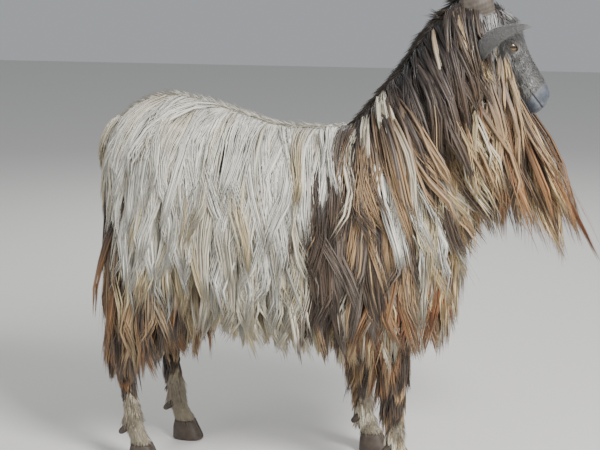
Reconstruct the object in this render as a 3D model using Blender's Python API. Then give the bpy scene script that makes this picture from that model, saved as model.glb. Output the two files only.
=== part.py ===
"""A long-coated Toggenburg-type buck, standing, life size.

Metres, +Z up. The goat faces +X, and its right side is towards -Y. The flesh is lofted from named
stations, the coat is flat tapered locks that fall under gravity and slide over the flesh, and each
node is cut clear of its neighbours by a small gap.
"""

import math
import random

import bmesh
import bpy
import numpy as np
from mathutils import Matrix, Vector
from mathutils.bvhtree import BVHTree

# Gaps and the frame
GAP = 0.0003
ORIGIN = Vector((0.0854, -0.0017, 0.0))
DOWN = Vector((0.0, 0.0, -1.0))
SEED = 20

# Torso stations from the buttocks to the breast: x, top, bottom, half width
TORSO = (
    (-0.414, 0.705, 0.610, 0.040),
    (-0.402, 0.762, 0.545, 0.078),
    (-0.365, 0.808, 0.500, 0.112),
    (-0.290, 0.832, 0.462, 0.138),
    (-0.180, 0.812, 0.422, 0.156),
    (-0.050, 0.774, 0.388, 0.166),
    (0.070, 0.770, 0.382, 0.158),
    (0.160, 0.780, 0.392, 0.138),
    (0.235, 0.752, 0.420, 0.114),
    (0.298, 0.690, 0.470, 0.082),
    (0.325, 0.640, 0.520, 0.046),
)
TORSO_WAIST = 0.46  # height of the widest line, as a share of the section

# Neck stations from inside the chest to inside the poll: x, y, z, half depth, half width
NECK = (
    (0.165, 0.000, 0.630, 0.120, 0.080),
    (0.211, 0.000, 0.694, 0.126, 0.080),
    (0.260, 0.003, 0.780, 0.112, 0.066),
    (0.300, 0.008, 0.860, 0.094, 0.057),
    (0.330, 0.014, 0.930, 0.082, 0.052),
    (0.354, 0.019, 0.984, 0.066, 0.046),
)

# Head: its own frame runs from the poll to the nose, with z to the forehead
HEAD_AT = Vector((0.367, 0.020, 1.011))
HEAD_YAW = math.radians(14)
HEAD_PITCH = math.radians(48)
HEAD = (
    (-0.045, -0.004, -0.034, 0.022),
    (-0.030, 0.018, -0.056, 0.040),
    (0.005, 0.036, -0.068, 0.050),
    (0.045, 0.048, -0.074, 0.055),
    (0.080, 0.048, -0.073, 0.055),
    (0.112, 0.040, -0.066, 0.049),
    (0.148, 0.030, -0.055, 0.039),
    (0.185, 0.024, -0.050, 0.034),
    (0.217, 0.020, -0.052, 0.033),
    (0.236, 0.012, -0.050, 0.029),
    (0.246, -0.003, -0.040, 0.018),
)
HEAD_AXIS = 0.42  # height of the head's widest line, as a share of the section
EYE_AT = (0.098, 0.0350, 0.013)
EYE_R = 0.0145
LID_R = 0.0022
EYE_LOOKS = (0.18, 1.0, 0.06)
EYE_WINDOW = (0.0112, 0.0068, 0.0105)
ORBIT = (0.027, 0.015, 0.021)
MOUTH_CORNER_X = 0.172
MOUTH_Z = -0.021
MOUTH_GROOVE = 0.0022
MOUTH_FRONT_X = 0.254
MOUTH_RISE = 0.006
MOUTH_DEEP = 0.0035
NOSTRIL_AT = (0.227, 0.0225, -0.002)
NOSTRIL_SIZE = (0.0085, 0.0050, 0.0036)

# Ears: a cupped leaf from its root to its tip, in the head's frame
EAR_ROOT = (0.066, 0.042, -0.062)
EAR_TIP = (0.077, 0.150, 0.061)
EAR_OPENS = (0.88, -0.30, -0.16)
EAR_HALF_WIDTH = 0.031
EAR_WIDEST = 0.34  # share of the ear's length
EAR_WRAP_ROOT = 125
EAR_WRAP_TIP = 48
EAR_BOW = 0.006
EAR_THICK = 0.0034

# Horns: an arc that leaves the skull up and back, and spreads
HORN_ROOT = (0.004, 0.029, 0.004)
HORN_LENGTH = 0.46
HORN_START = {-1: math.radians(150), 1: math.radians(142)}
HORN_TURN = math.radians(78)
HORN_SPREAD = 0.34
HORN_DEEP = 0.034
HORN_WIDE = 0.024
HORN_RINGS = 19
HORN_RIDGE = 0.07

# Legs: x, z, half length along x, half width, down the leg to the coronet
FORE_LEG = (
    (0.000, 0.560, 0.050, 0.024),
    (0.004, 0.500, 0.056, 0.036),
    (-0.002, 0.430, 0.047, 0.036),
    (0.010, 0.360, 0.033, 0.029),
    (0.016, 0.305, 0.026, 0.024),
    (0.020, 0.268, 0.028, 0.026),
    (0.020, 0.235, 0.022, 0.021),
    (0.021, 0.160, 0.0165, 0.0160),
    (0.022, 0.098, 0.0200, 0.0190),
    (0.031, 0.070, 0.0190, 0.0190),
    (0.040, 0.046, 0.0230, 0.0225),
)
HIND_LEG = (
    (0.078, 0.640, 0.085, 0.045),
    (0.066, 0.550, 0.094, 0.060),
    (0.052, 0.465, 0.078, 0.056),
    (0.022, 0.385, 0.050, 0.039),
    (-0.006, 0.320, 0.034, 0.027),
    (-0.022, 0.272, 0.031, 0.023),
    (-0.016, 0.236, 0.023, 0.020),
    (-0.006, 0.160, 0.0170, 0.0165),
    (0.000, 0.098, 0.0205, 0.0190),
    (0.010, 0.070, 0.0190, 0.0190),
    (0.020, 0.046, 0.0230, 0.0225),
)
LEGS = {
    "leg_front_right": (FORE_LEG, 0.208, -0.092),
    "leg_front_left": (FORE_LEG, 0.110, 0.092),
    "leg_hind_right": (HIND_LEG, -0.368, -0.088),
    "leg_hind_left": (HIND_LEG, -0.318, 0.088),
}

# Hooves: two claws a foot
HOOF_SPLIT = 0.0024
CLAW_SIDES = 7
CLAW = (
    (0.0457, -0.0235, 0.0235, 0.0215),
    (0.0300, -0.0270, 0.0310, 0.0235),
    (0.0060, -0.0280, 0.0420, 0.0250),
    (0.0000, -0.0260, 0.0415, 0.0235),
)
DEWCLAW = ((0.000, 0.0085), (0.012, 0.0080), (0.022, 0.0065), (0.027, 0.0030))

# Tail: a short upturned stub
TAIL = (
    (-0.372, 0.762, 0.022),
    (-0.408, 0.764, 0.019),
    (-0.430, 0.746, 0.015),
    (-0.442, 0.720, 0.010),
    (-0.446, 0.698, 0.005),
)

# Beard core: the roots of the beard wrap the jaw and lower cheeks: x, top, bottom, half width
BEARD = (
    (0.032, -0.038, -0.088, 0.058),
    (0.060, -0.030, -0.094, 0.067),
    (0.110, -0.026, -0.084, 0.060),
    (0.160, -0.024, -0.072, 0.046),
    (0.200, -0.026, -0.062, 0.037),
    (0.219, -0.030, -0.054, 0.028),
)

# Coat: locks in rows. A row's roots are met by rays seen from the view, from start to stop.
LOCK_STEPS = 5
LOCK_DROOP = 0.60
LOCK_FLATNESS = 0.18
ROOT_SINK = 0.012
OTHERS_CLEAR = 0.014
COMB_JITTER = 0.12
ROOT_JITTER = 0.006
LOCK_ROOM = 0.0012  # room kept between locks of different nodes
MIDDLES = {"head": 0.045, "beard": 0.045, "neck": 0.010}
HARD_PARTS = ("horn_right", "horn_left", "ear_right", "ear_left")

BEARD_ROWS = (
    dict(part="beard", view="side", start=(0.394, 0.909), stop=(0.468, 0.834), count=5, length=0.35,
         length_stop=0.35, width=0.052, comb=(0.10, 0.35, -1), comb_stop=(0.25, 0.25, -1),
         drift=(0.19, 0.02, -1), drift_stop=(0.62, 0.02, -1), lift=0.014),
    dict(part="beard", view="side", start=(0.376, 0.897), stop=(0.448, 0.827), count=4, length=0.36,
         width=0.050, comb=(0.1, 0.1, -1), comb_stop=(0.3, 0.1, -1),
         drift=(0.15, 0.0, -1), drift_stop=(0.60, 0.0, -1), lift=0.008),
    dict(part="beard", view="under", start=(0.412, 0.010), stop=(0.456, 0.008), count=2, length=0.34,
         width=0.046, comb=(0.2, 0.1, -1), comb_stop=(0.15, 0.1, -1), drift=(0.45, 0, -1),
         drift_stop=(0.80, 0, -1), lift=0.008),
)
NECK_ROWS = (
    dict(part="neck", view="top", start=(0.190, 0.010), stop=(0.285, 0.010), count=3, length=0.22,
         width=0.074, comb=(-0.3, 0.9, 0.1), drift=(0.40, 0, -1), lift=0.030),
    dict(part="neck", view="side", start=(0.228, 0.805), stop=(0.312, 0.935), count=4, length=0.21,
         width=0.068, comb=(0.4, 0.3, -0.7), drift=(0.45, 0, -1), lift=0.022),
    dict(part="neck", view="side", start=(0.285, 0.765), stop=(0.345, 0.885), count=4, length=0.19,
         width=0.062, comb=(0.3, 0.3, -0.8), drift=(0.30, 0, -1), lift=0.018),
    dict(part="neck", view="side", start=(0.340, 0.750), stop=(0.372, 0.820), count=2, length=0.17,
         width=0.056, comb=(0.2, 0.2, -1), drift=(0.15, 0, -1), lift=0.012),
)
TAIL_ROWS = (
    dict(part="tail", view="top", start=(-0.408, 0.006), stop=(-0.434, 0.006), count=2, length=0.080,
         width=0.032, comb=(-0.5, 0.6, 0.0), drift=(-0.15, 0.1, -1), lift=0.006),
)
TORSO_ROWS = (
    dict(part="torso", view="side", start=(-0.376, 0.570), stop=(-0.372, 0.690), count=3, length=0.26,
         width=0.066, comb=(-0.1, 0.1, -1), drift=(0.04, 0, -1), lift=0.010),
    dict(part="torso", view="side", start=(-0.290, 0.500), stop=(0.220, 0.455), count=7, length=0.19,
         length_stop=0.16, width=0.094, comb=(-0.2, 0.2, -1), comb_stop=(0.2, 0.2, -1), lift=0.014),
    dict(part="torso", view="side", start=(-0.330, 0.610), stop=(0.255, 0.600), count=8, length=0.26,
         width=0.094, comb=(-0.15, 0.2, -1), comb_stop=(0.25, 0.2, -1), drift=(0.02, 0, -1), lift=0.020),
    dict(part="torso", view="side", start=(-0.345, 0.725), stop=(0.190, 0.700), count=8, length=0.26,
         width=0.094, comb=(-0.35, 0.2, -0.9), comb_stop=(0.30, 0.3, -1), drift=(0.03, 0, -1), lift=0.024),
    dict(part="torso", view="top", start=(-0.330, 0.020), stop=(0.130, 0.018), count=7, length=0.24,
         width=0.094, comb=(-0.55, 0.8, 0), comb_stop=(0.1, 1.0, 0), drift=(0, 0, -1), lift=0.026),
    dict(part="torso", view="back", start=(0.034, 0.660), stop=(0.080, 0.640), count=2, length=0.27,
         width=0.066, comb=(0.0, 0.2, -1), drift=(0.04, 0, -1), lift=0.008),
    dict(part="torso", view="front", start=(0.026, 0.560), stop=(0.066, 0.610), count=3, length=0.28,
         width=0.066, comb=(0.3, 0.1, -1), drift=(0.05, 0, -1), lift=0.018),
)
FORE_ROWS = (
    dict(part="leg_front", view="side", start=(-0.018, 0.330), stop=(0.034, 0.320), count=2, length=0.15,
         width=0.040, comb=(-0.1, 0.2, -1), lift=0.008),
    dict(part="leg_front", view="back", start=(0.006, 0.330), stop=(0.004, 0.240), count=2, length=0.13,
         length_stop=0.10, width=0.036, comb=(-0.5, 0.2, -1), lift=0.010),
)
HIND_ROWS = (
    dict(part="leg_hind", view="side", start=(-0.004, 0.360), stop=(0.046, 0.390), count=2, length=0.17,
         width=0.050, comb=(-0.3, 0.2, -1), lift=0.009),
    dict(part="leg_hind", view="back", start=(0.012, 0.390), stop=(0.006, 0.300), count=2, length=0.17,
         length_stop=0.13, width=0.050, comb=(-0.4, 0.2, -1), drift=(-0.05, 0, -1), lift=0.010),
)
COAT = (
    ("beard", BEARD_ROWS, (-1, 1)),
    ("neck", NECK_ROWS, (-1, 1)),
    ("tail", TAIL_ROWS, (-1, 1)),
    ("torso_right", TORSO_ROWS, (-1,)),
    ("torso_left", TORSO_ROWS, (1,)),
    ("leg_front_right", FORE_ROWS, (-1, 1)),
    ("leg_front_left", FORE_ROWS, (-1, 1)),
    ("leg_hind_right", HIND_ROWS, (-1, 1)),
    ("leg_hind_left", HIND_ROWS, (-1, 1)),
)

MATERIALS = {
    "white_coat": ((0.74, 0.70, 0.62), 0.65, 0.0),
    "brown_coat": ((0.30, 0.17, 0.08), 0.60, 0.0),
    "grey_fur": ((0.30, 0.28, 0.28), 0.70, 0.0),
    "horn": ((0.22, 0.19, 0.16), 0.45, 0.0),
    "hoof": ((0.10, 0.085, 0.07), 0.40, 0.0),
    "eye": ((0.42, 0.26, 0.07), 0.08, 0.0),
}


def material(name):
    """The Principled material of that name, made once."""
    made = bpy.data.materials.get(name)
    if made:
        return made
    colour, rough, metal = MATERIALS[name]
    made = bpy.data.materials.new(name)
    made.use_nodes = True
    shader = made.node_tree.nodes["Principled BSDF"]
    shader.inputs["Base Color"].default_value = (*colour, 1.0)
    shader.inputs["Roughness"].default_value = rough
    shader.inputs["Metallic"].default_value = metal
    return made


def clear_scene():
    for obj in list(bpy.data.objects):
        bpy.data.objects.remove(obj, do_unlink=True)


def collection(name, hidden=False):
    made = bpy.data.collections.new(name)
    bpy.context.scene.collection.children.link(made)
    made.hide_render = hidden
    return made


def face_outward(bm):
    bmesh.ops.recalc_face_normals(bm, faces=bm.faces)
    if bm.calc_volume(signed=True) < 0:
        bmesh.ops.reverse_faces(bm, faces=bm.faces)


def object_of(name, bm, home, look="white_coat"):
    """An object from a bmesh, linked to the collection home."""
    face_outward(bm)
    mesh = bpy.data.meshes.new(name)
    bm.to_mesh(mesh)
    bm.free()
    mesh.materials.append(material(look))
    obj = bpy.data.objects.new(name, mesh)
    home.objects.link(obj)
    if home.hide_render:
        obj.hide_render = True
        obj.display_type = "WIRE"
    return obj


def curve_through(rows, count):
    """count rows on a Catmull-Rom curve through the rows, spaced by the rows' own order."""
    rows = np.array(rows, float)
    ends = np.vstack([2 * rows[0] - rows[1], rows, 2 * rows[-1] - rows[-2]])
    out = []
    for place in np.linspace(0, len(rows) - 1, count):
        i = min(int(place), len(rows) - 2)
        t = place - i
        a, b, c, d = ends[i : i + 4]
        out.append(
            0.5 * (2 * b + (c - a) * t + (2 * a - 5 * b + 4 * c - d) * t**2
                   + (3 * b - a - 3 * c + d) * t**3)
        )
    return np.array(out)


def loft(rings, tips=True):
    """A closed bmesh through rings of equal count. With tips, each end is a fan on its middle."""
    bm = bmesh.new()
    made = [[bm.verts.new(p) for p in ring] for ring in rings]
    sides = len(made[0])
    for low, high in zip(made, made[1:]):
        for k in range(sides):
            n = (k + 1) % sides
            bm.faces.new((low[k], low[n], high[n], high[k]))
    for ring, points in ((made[0], rings[0]), (made[-1], rings[-1])):
        if tips:
            middle = bm.verts.new(np.mean(np.array(points), axis=0))
            for k in range(sides):
                bm.faces.new((ring[k], ring[(k + 1) % sides], middle))
        else:
            bm.faces.new(ring)
    bmesh.ops.triangulate(bm, faces=bm.faces, quad_method="FIXED")
    return bm


def body_section(x, top, bottom, half, waist, sides, roof=1.12, keel=0.85):
    """A trunk's or head's cross section at x: narrower to the ridge than an ellipse, fuller below."""
    middle = bottom + waist * (top - bottom)
    ring = []
    for k in range(sides):
        a = 2 * math.pi * k / sides
        c, s = math.cos(a), math.sin(a)
        power = roof if s > 0 else keel
        y = half * math.copysign(abs(c) ** power, c)
        z = middle + (top - middle if s > 0 else middle - bottom) * s
        ring.append(Vector((x, y, z)))
    return ring


def torso_rings(count, sides, grow=0.0):
    rows = curve_through(TORSO, count)
    rows[0][0] -= grow
    rows[-1][0] += grow
    return [
        body_section(x, top + grow, bottom - grow, half + grow, TORSO_WAIST, sides)
        for x, top, bottom, half in rows
    ]


def oval(centre, along, across, deep, wide, sides):
    """An ellipse round centre, deep along the direction along and wide across it."""
    return [
        centre + along * (deep * math.sin(a)) + across * (wide * math.cos(a))
        for a in (2 * math.pi * k / sides for k in range(sides))
    ]


def neck_rings(count, sides, grow=0.0):
    rows = curve_through(NECK, count)
    rings = []
    for i, (x, y, z, deep, wide) in enumerate(rows):
        before, after = rows[max(i - 1, 0)], rows[min(i + 1, count - 1)]
        tangent = Vector(after[:3] - before[:3]).normalized()
        across = Vector((0, 1, 0))
        along = across.cross(tangent).normalized()
        centre = Vector((x, y, z))
        rings.append(oval(centre, along, across, deep + grow, wide + grow, sides))
    return rings


def head_matrix():
    """From the head's own frame to the goat's."""
    turn = Matrix.Rotation(HEAD_YAW, 4, "Z") @ Matrix.Rotation(HEAD_PITCH, 4, "Y")
    return Matrix.Translation(HEAD_AT) @ turn


def head_rings(count, sides, grow=0.0):
    rows = curve_through(HEAD, count)
    rows[0][0] -= grow
    rows[-1][0] += grow
    place = head_matrix()
    rings = []
    for x, top, bottom, half in rows:
        ring = body_section(
            x, top + grow, bottom - grow, half + grow, HEAD_AXIS, sides, 0.85, 0.95
        )
        rings.append([place @ p for p in ring])
    return rings


def leg_rings(name, count, sides, grow=0.0):
    stations, x0, y0 = LEGS[name]
    rows = curve_through(stations, count)
    rings = []
    for x, z, long, wide in rows:
        centre = Vector((x0 + x, y0, z))
        rings.append(oval(centre, Vector((1, 0, 0)), Vector((0, 1, 0)), long + grow, wide + grow, sides))
    return rings


def tail_rings(count, sides, grow=0.0):
    rows = curve_through(TAIL, count)
    rings = []
    for i, (x, z, radius) in enumerate(rows):
        before, after = rows[max(i - 1, 0)], rows[min(i + 1, count - 1)]
        tangent = Vector((after[0] - before[0], 0, after[1] - before[1])).normalized()
        across = Vector((0, 1, 0))
        along = across.cross(tangent).normalized()
        rings.append(oval(Vector((x, 0, z)), along, across, radius + grow, radius + grow, sides))
    return rings


def beard_rings(count, sides, grow=0.0):
    place = head_matrix()
    rings = []
    for x, top, bottom, half in curve_through(BEARD, count):
        ring = body_section(x, top + grow, bottom - grow, half + grow, 0.5, sides, 1.0, 1.0)
        rings.append([place @ p for p in ring])
    return rings


def evaluated_mesh(obj):
    graph = bpy.context.evaluated_depsgraph_get()
    return bpy.data.meshes.new_from_object(obj.evaluated_get(graph))


def apply_modifiers(obj):
    """Replaces the object's mesh by its evaluated mesh."""
    bpy.context.view_layer.update()
    mesh = evaluated_mesh(obj)
    obj.modifiers.clear()
    obj.data = mesh


def combine(obj, others, operation):
    """Joins to obj, or cuts from it, a collection of closed meshes, which are then removed."""
    if not others:
        return
    group = collection(obj.name + "_tools", hidden=True)
    for other in others:
        for home in list(other.users_collection):
            home.objects.unlink(other)
        group.objects.link(other)
    boolean = obj.modifiers.new(operation, "BOOLEAN")
    boolean.operation = operation
    boolean.operand_type = "COLLECTION"
    boolean.collection = group
    boolean.solver = "MANIFOLD"  # the exact solver leaves open edges where facets nearly meet
    apply_modifiers(obj)
    for other in list(group.objects):
        bpy.data.objects.remove(other, do_unlink=True)
    bpy.data.collections.remove(group)


def keep_largest(obj):
    """Leaves only the closed surface that spans the most."""
    bm = bmesh.new()
    bm.from_mesh(obj.data)
    left = set(bm.faces)
    shells = []
    while left:
        start = left.pop()
        shell, front = {start}, [start]
        while front:
            face = front.pop()
            for edge in face.edges:
                for other in edge.link_faces:
                    if other in left:
                        left.remove(other)
                        shell.add(other)
                        front.append(other)
        shells.append(shell)
    shells.sort(key=lambda shell: sum(f.calc_area() for f in shell))
    spare = [v for shell in shells[:-1] for f in shell for v in f.verts]
    bmesh.ops.delete(bm, geom=list(set(spare)), context="VERTS")
    bm.to_mesh(obj.data)
    bm.free()


class Flesh:
    """The flesh surfaces, which locks slide over."""

    def __init__(self, parts):
        self.trees = {}
        self.depths = {}
        for name, bm in parts.items():
            self.add(name, bm)

    def add(self, name, bm):
        face_outward(bm)
        spans = [[v.co[k] for v in bm.verts] for k in range(3)]
        self.depths[name] = 0.5 * min(max(span) - min(span) for span in spans)
        self.trees[name] = surface_tree(bm)

    def push_out(self, point, clear, own, extra):
        """The point moved off each surface to its distance, with the normal it was moved along."""
        outward = None
        for _ in range(3):
            for name, tree in self.trees.items():
                reach = clear if name == own else clear + extra
                near, normal, _, distance = tree.find_nearest(point)
                away = point - near
                inside = distance < self.depths[name] and away.dot(normal) < -0.6 * distance
                if inside or distance < reach:
                    heading = normal if inside or distance < 1e-6 else away.normalized()
                    point = near + heading * reach
                    outward = heading
        return point, outward


def fall(flesh, own, root, normal, comb, drift, length, lift, steps):
    """A lock's line: it leaves the skin along the comb and bends down over the flesh."""
    step = length / (steps - 1)
    heading = (comb + normal * 0.35).normalized()
    points, normals = [root - normal * ROOT_SINK], [normal.copy()]
    point, facing = root.copy(), normal.copy()
    for i in range(1, steps):
        t = i / (steps - 1)
        pull = min(0.9, LOCK_DROOP * (0.5 + t))
        heading = heading.lerp(drift, pull).normalized()
        clear = lift * (0.45 + 0.55 * t)
        point, outward = flesh.push_out(point + heading * step, clear, own, OTHERS_CLEAR)
        if outward is not None:
            facing = (facing + outward).normalized()
        heading = (point - points[-1]).normalized()
        facing = (facing - heading * facing.dot(heading)).normalized()
        points.append(point.copy())
        normals.append(facing.copy())
    return points, normals


def lock_mesh(points, normals, wide, thick, grow=0.0, swell=0.35):
    """A flat tapered lock along a line: four-cornered sections, widest at swell, ending in a point."""
    count = len(points)
    rings = []
    for i in range(count - 1):
        t = i / (count - 1)
        rise = min(1.0, 0.62 + 0.38 * t / swell)
        fade = 1.0 if t < swell else 1 - ((t - swell) / (1 - swell)) ** 1.8
        half = 0.5 * wide * rise * fade + grow
        deep = 0.5 * thick * (0.55 + 0.45 * fade) + grow
        tangent = (points[min(i + 1, count - 1)] - points[max(i - 1, 0)]).normalized()
        across = tangent.cross(normals[i]).normalized()
        out = across.cross(tangent).normalized()
        middle = points[i] - (tangent * grow if i == 0 else Vector())
        rings.append(
            [middle - across * half, middle - out * deep * 0.8,
             middle + across * half, middle + out * deep * 1.2]
        )
    bm = bmesh.new()
    made = [[bm.verts.new(p) for p in ring] for ring in rings]
    for low, high in zip(made, made[1:]):
        for k in range(4):
            n = (k + 1) % 4
            bm.faces.new((low[k], low[n], high[n], high[k]))
    bm.faces.new(made[0])
    end = (points[-1] - points[-2]).normalized()
    tip = bm.verts.new(points[-1] + end * grow * 2)
    for k in range(4):
        bm.faces.new((made[-1][k], made[-1][(k + 1) % 4], tip))
    bmesh.ops.triangulate(bm, faces=bm.faces)
    return bm


def midline(side):
    """The half space on the other side of the goat's middle plane."""
    if side < 0:
        return box((-1, -GAP / 2, 0), (1, 1, 2))
    return box((-1, -1, 0), (1, GAP / 2, 2))


def grown_copy(obj, home):
    """A copy of a node whose surface stands off by the gap."""
    bm = bmesh.new()
    bm.from_mesh(obj.data)
    bm.normal_update()
    moves = [(v, v.co + v.normal * GAP * 1.3) for v in bm.verts]
    for v, place in moves:
        v.co = place
    return object_of("grown_" + obj.name, bm, home)


def surface_tree(bm):
    tree = BVHTree.FromBMesh(bm)
    bm.free()
    return tree


def head_point(place):
    """A point of the head's own frame, in the goat's frame."""
    return head_matrix() @ Vector(place)


def ear_rings(side, count, across_count):
    """C-shaped sections of a cupped ear: a tube at the root that opens and flattens to the tip."""
    root = head_point((EAR_ROOT[0], EAR_ROOT[1] * side, EAR_ROOT[2]))
    tip = head_point((EAR_TIP[0], EAR_TIP[1] * side, EAR_TIP[2]))
    along = (tip - root).normalized()
    turn = head_matrix().to_3x3()
    mouth = turn @ Vector((EAR_OPENS[0], EAR_OPENS[1] * side, EAR_OPENS[2]))
    mouth = (mouth - along * mouth.dot(along)).normalized()
    across = along.cross(mouth).normalized()
    rings = []
    for i in range(count):
        t = i / (count - 1)
        if t < EAR_WIDEST:
            width = EAR_HALF_WIDTH * (0.50 + 0.50 * math.sin(0.5 * math.pi * t / EAR_WIDEST))
        else:
            width = EAR_HALF_WIDTH * (1 - ((t - EAR_WIDEST) / (1 - EAR_WIDEST)) ** 1.7 * 0.94)
        wrap = math.radians(EAR_WRAP_ROOT + (EAR_WRAP_TIP - EAR_WRAP_ROOT) * t**0.6)
        radius = width / math.sin(min(wrap, math.pi / 2))
        bow = mouth * (EAR_BOW * math.sin(math.pi * t))
        middle = root.lerp(tip, t) - bow
        thick = min(EAR_THICK * (1.3 - 0.8 * t), 0.55 * width)
        outer, inner = [], []
        for k in range(across_count):
            a = wrap * (2 * k / (across_count - 1) - 1)
            spoke = across * math.sin(a) - mouth * math.cos(a)
            edge = 1 - 0.55 * abs(a / wrap) ** 3
            outer.append(middle + spoke * radius)
            inner.append(middle + spoke * (radius - thick * edge))
        rings.append((outer, inner))
    return rings


def ear_mesh(side, count=7, across_count=7):
    bm = bmesh.new()
    made = []
    for outer, inner in ear_rings(side, count, across_count):
        made.append([bm.verts.new(p) for p in outer + inner[::-1]])
    sides = len(made[0])
    for low, high in zip(made, made[1:]):
        for k in range(sides):
            n = (k + 1) % sides
            bm.faces.new((low[k], low[n], high[n], high[k]))
    for ring in (made[0], made[-1]):
        for k in range(across_count - 1):
            bm.faces.new((ring[k], ring[k + 1], ring[sides - 2 - k], ring[sides - 1 - k]))
    return bm


def horn_rings(side, count, sides):
    """Sections of a horn that leaves the poll upward and sweeps back and outward, with growth rings."""
    place = head_matrix()
    turn = place.to_3x3()
    point = Vector((HORN_ROOT[0], HORN_ROOT[1] * side, HORN_ROOT[2]))
    start = HORN_START[side]
    step = HORN_LENGTH / (count - 1)
    rings = []
    for i in range(count):
        t = i / (count - 1)
        angle = start + HORN_TURN * t
        spread = HORN_SPREAD * math.sin(0.35 + 1.5 * t)
        tangent = Vector((math.cos(angle), side * spread, math.sin(angle))).normalized()
        across = Vector((0, 1, 0)) - tangent * tangent.y
        across.normalize()
        along = across.cross(tangent).normalized()
        taper = (1 - t) ** 0.75 * 0.94 + 0.06
        ridge = 1 + (HORN_RIDGE if i % 2 else 0.0) * (1 - t)
        ring = oval(point, along, across, HORN_DEEP * taper * ridge, HORN_WIDE * taper * ridge, sides)
        rings.append([place @ p for p in ring])
        point = point + tangent * step
    return rings


def claw_rings(x, y, side):
    """D-shaped sections of one claw of a foot, from the coronet to the flat sole."""
    rings = []
    for z, back, front, wide in CLAW:
        middle, reach = (front + back) / 2, (front - back) / 2
        ring = []
        for k in range(CLAW_SIDES):
            a = math.pi * (k / (CLAW_SIDES - 1) - 0.5)
            out = HOOF_SPLIT / 2 + wide * math.cos(a) ** 0.6 if 0 < k < CLAW_SIDES - 1 else HOOF_SPLIT / 2
            ring.append(Vector((x + middle + reach * math.sin(a), y + side * out, z)))
        rings.append(ring)
    return rings


def dewclaw_rings(x, y, z, side):
    """A blunt cone that points down and back from behind the pastern."""
    rings = []
    heading = Vector((-0.75, 0.25 * side, -0.62)).normalized()
    across = heading.cross(Vector((0, 0, 1))).normalized()
    along = across.cross(heading)
    for reach, radius in DEWCLAW:
        rings.append(oval(Vector((x, y, z)) + heading * reach, along, across, radius, radius, 5))
    return rings


def ball(centre, radius, grow=0.0, squash=(1, 1, 1), turn=None, cuts=(14, 8)):
    """A sphere, or an ellipsoid turned by a matrix."""
    bm = bmesh.new()
    bmesh.ops.create_uvsphere(bm, u_segments=cuts[0], v_segments=cuts[1], radius=radius + grow)
    spot = Matrix.Translation(centre) @ (turn.to_4x4() if turn else Matrix())
    bm.transform(spot @ Matrix.Diagonal((*squash, 1)))
    return bm


def box(low, high):
    bm = bmesh.new()
    bmesh.ops.create_cube(bm, size=1)
    low, high = Vector(low), Vector(high)
    bm.transform(Matrix.Translation((low + high) / 2) @ Matrix.Diagonal((*(high - low), 1)))
    return bm


def look_along(direction, up=Vector((0, 0, 1))):
    """A rotation whose Z runs along the direction and whose X lies level across it."""
    z = direction.normalized()
    x = up.cross(z).normalized()
    return Matrix((x, z.cross(x), z)).transposed()


def face_details(head, home):
    """Lids, sockets, the line of the mouth and the nostrils."""
    turn = head_matrix().to_3x3()
    lids, sockets = [], []
    for side in (-1, 1):
        centre = head_point((EYE_AT[0], EYE_AT[1] * side, EYE_AT[2]))
        gaze = turn @ Vector((EYE_LOOKS[0], EYE_LOOKS[1] * side, EYE_LOOKS[2]))
        facing = look_along(gaze, turn @ Vector((0, 0, 1)))
        lids.append(object_of("lid", ball(centre, EYE_R + LID_R, cuts=(14, 9)), home))
        orbit = ball(centre, 1.0, squash=ORBIT, turn=turn, cuts=(12, 8))
        lids.append(object_of("orbit", orbit, home))
        sockets.append(object_of("socket", ball(centre, EYE_R, GAP, cuts=(12, 8)), home))
        window = ball(
            centre + gaze.normalized() * EYE_R, 1.0, squash=EYE_WINDOW, turn=facing, cuts=(12, 6)
        )
        sockets.append(object_of("window", window, home))
    combine(head, lids, "UNION")
    combine(head, sockets, "DIFFERENCE")

    place = head_matrix()
    slab = []
    for x in np.linspace(MOUTH_CORNER_X, MOUTH_FRONT_X, 6):
        rise = MOUTH_RISE * ((MOUTH_FRONT_X - x) / (MOUTH_FRONT_X - MOUTH_CORNER_X)) ** 2
        z = MOUTH_Z + rise
        deep = MOUTH_GROOVE / 2
        ring = [(x, -0.06, z - deep), (x, 0.06, z - deep), (x, 0.06, z + deep), (x, -0.06, z + deep)]
        slab.append([place @ Vector(p) for p in ring])
    mouth = object_of("mouth", loft(slab, tips=False), home)
    core = object_of("mouth_core", loft(head_rings(15, 18, grow=-MOUTH_DEEP)), home)
    combine(mouth, [core], "DIFFERENCE")
    holes = [mouth]
    for side in (-1, 1):
        centre = head_point((NOSTRIL_AT[0], NOSTRIL_AT[1] * side, NOSTRIL_AT[2]))
        facing = turn @ Matrix.Rotation(math.radians(35), 3, "Y")
        holes.append(object_of("nostril", ball(centre, 1.0, squash=NOSTRIL_SIZE, turn=facing, cuts=(8, 6)), home))
    combine(head, holes, "DIFFERENCE")


# Views from which roots are found: a ray's start and heading, from two coordinates and a middle plane
VIEWS = {
    "side": lambda a, b, side, mid: (Vector((a, mid + side, b)), Vector((0, -side, 0))),
    "top": lambda a, b, side, mid: (Vector((a, mid + side * b, 2)), Vector((0, 0, -1))),
    "front": lambda a, b, side, mid: (Vector((2, mid + side * a, b)), Vector((-1, 0, 0))),
    "back": lambda a, b, side, mid: (Vector((-2, mid + side * a, b)), Vector((1, 0, 0))),
    "under": lambda a, b, side, mid: (Vector((a, mid + side * b, 0)), Vector((0, 0, 1))),
}


def clear_lock(make_line, width, others):
    """A lock bent out, then shortened, until it crosses no lock of another node. None if it never does."""
    for more_lift, share in ((0, 1), (0.007, 1), (0.014, 1), (0.004, 0.75), (0.012, 0.75), (0.004, 0.5)):
        line = make_line(more_lift, share)
        lock = (*line, width, width * LOCK_FLATNESS)
        tree = surface_tree(lock_mesh(*lock, grow=LOCK_ROOM))
        if not any(tree.overlap(other) for other in others):
            return lock
    return None


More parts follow.
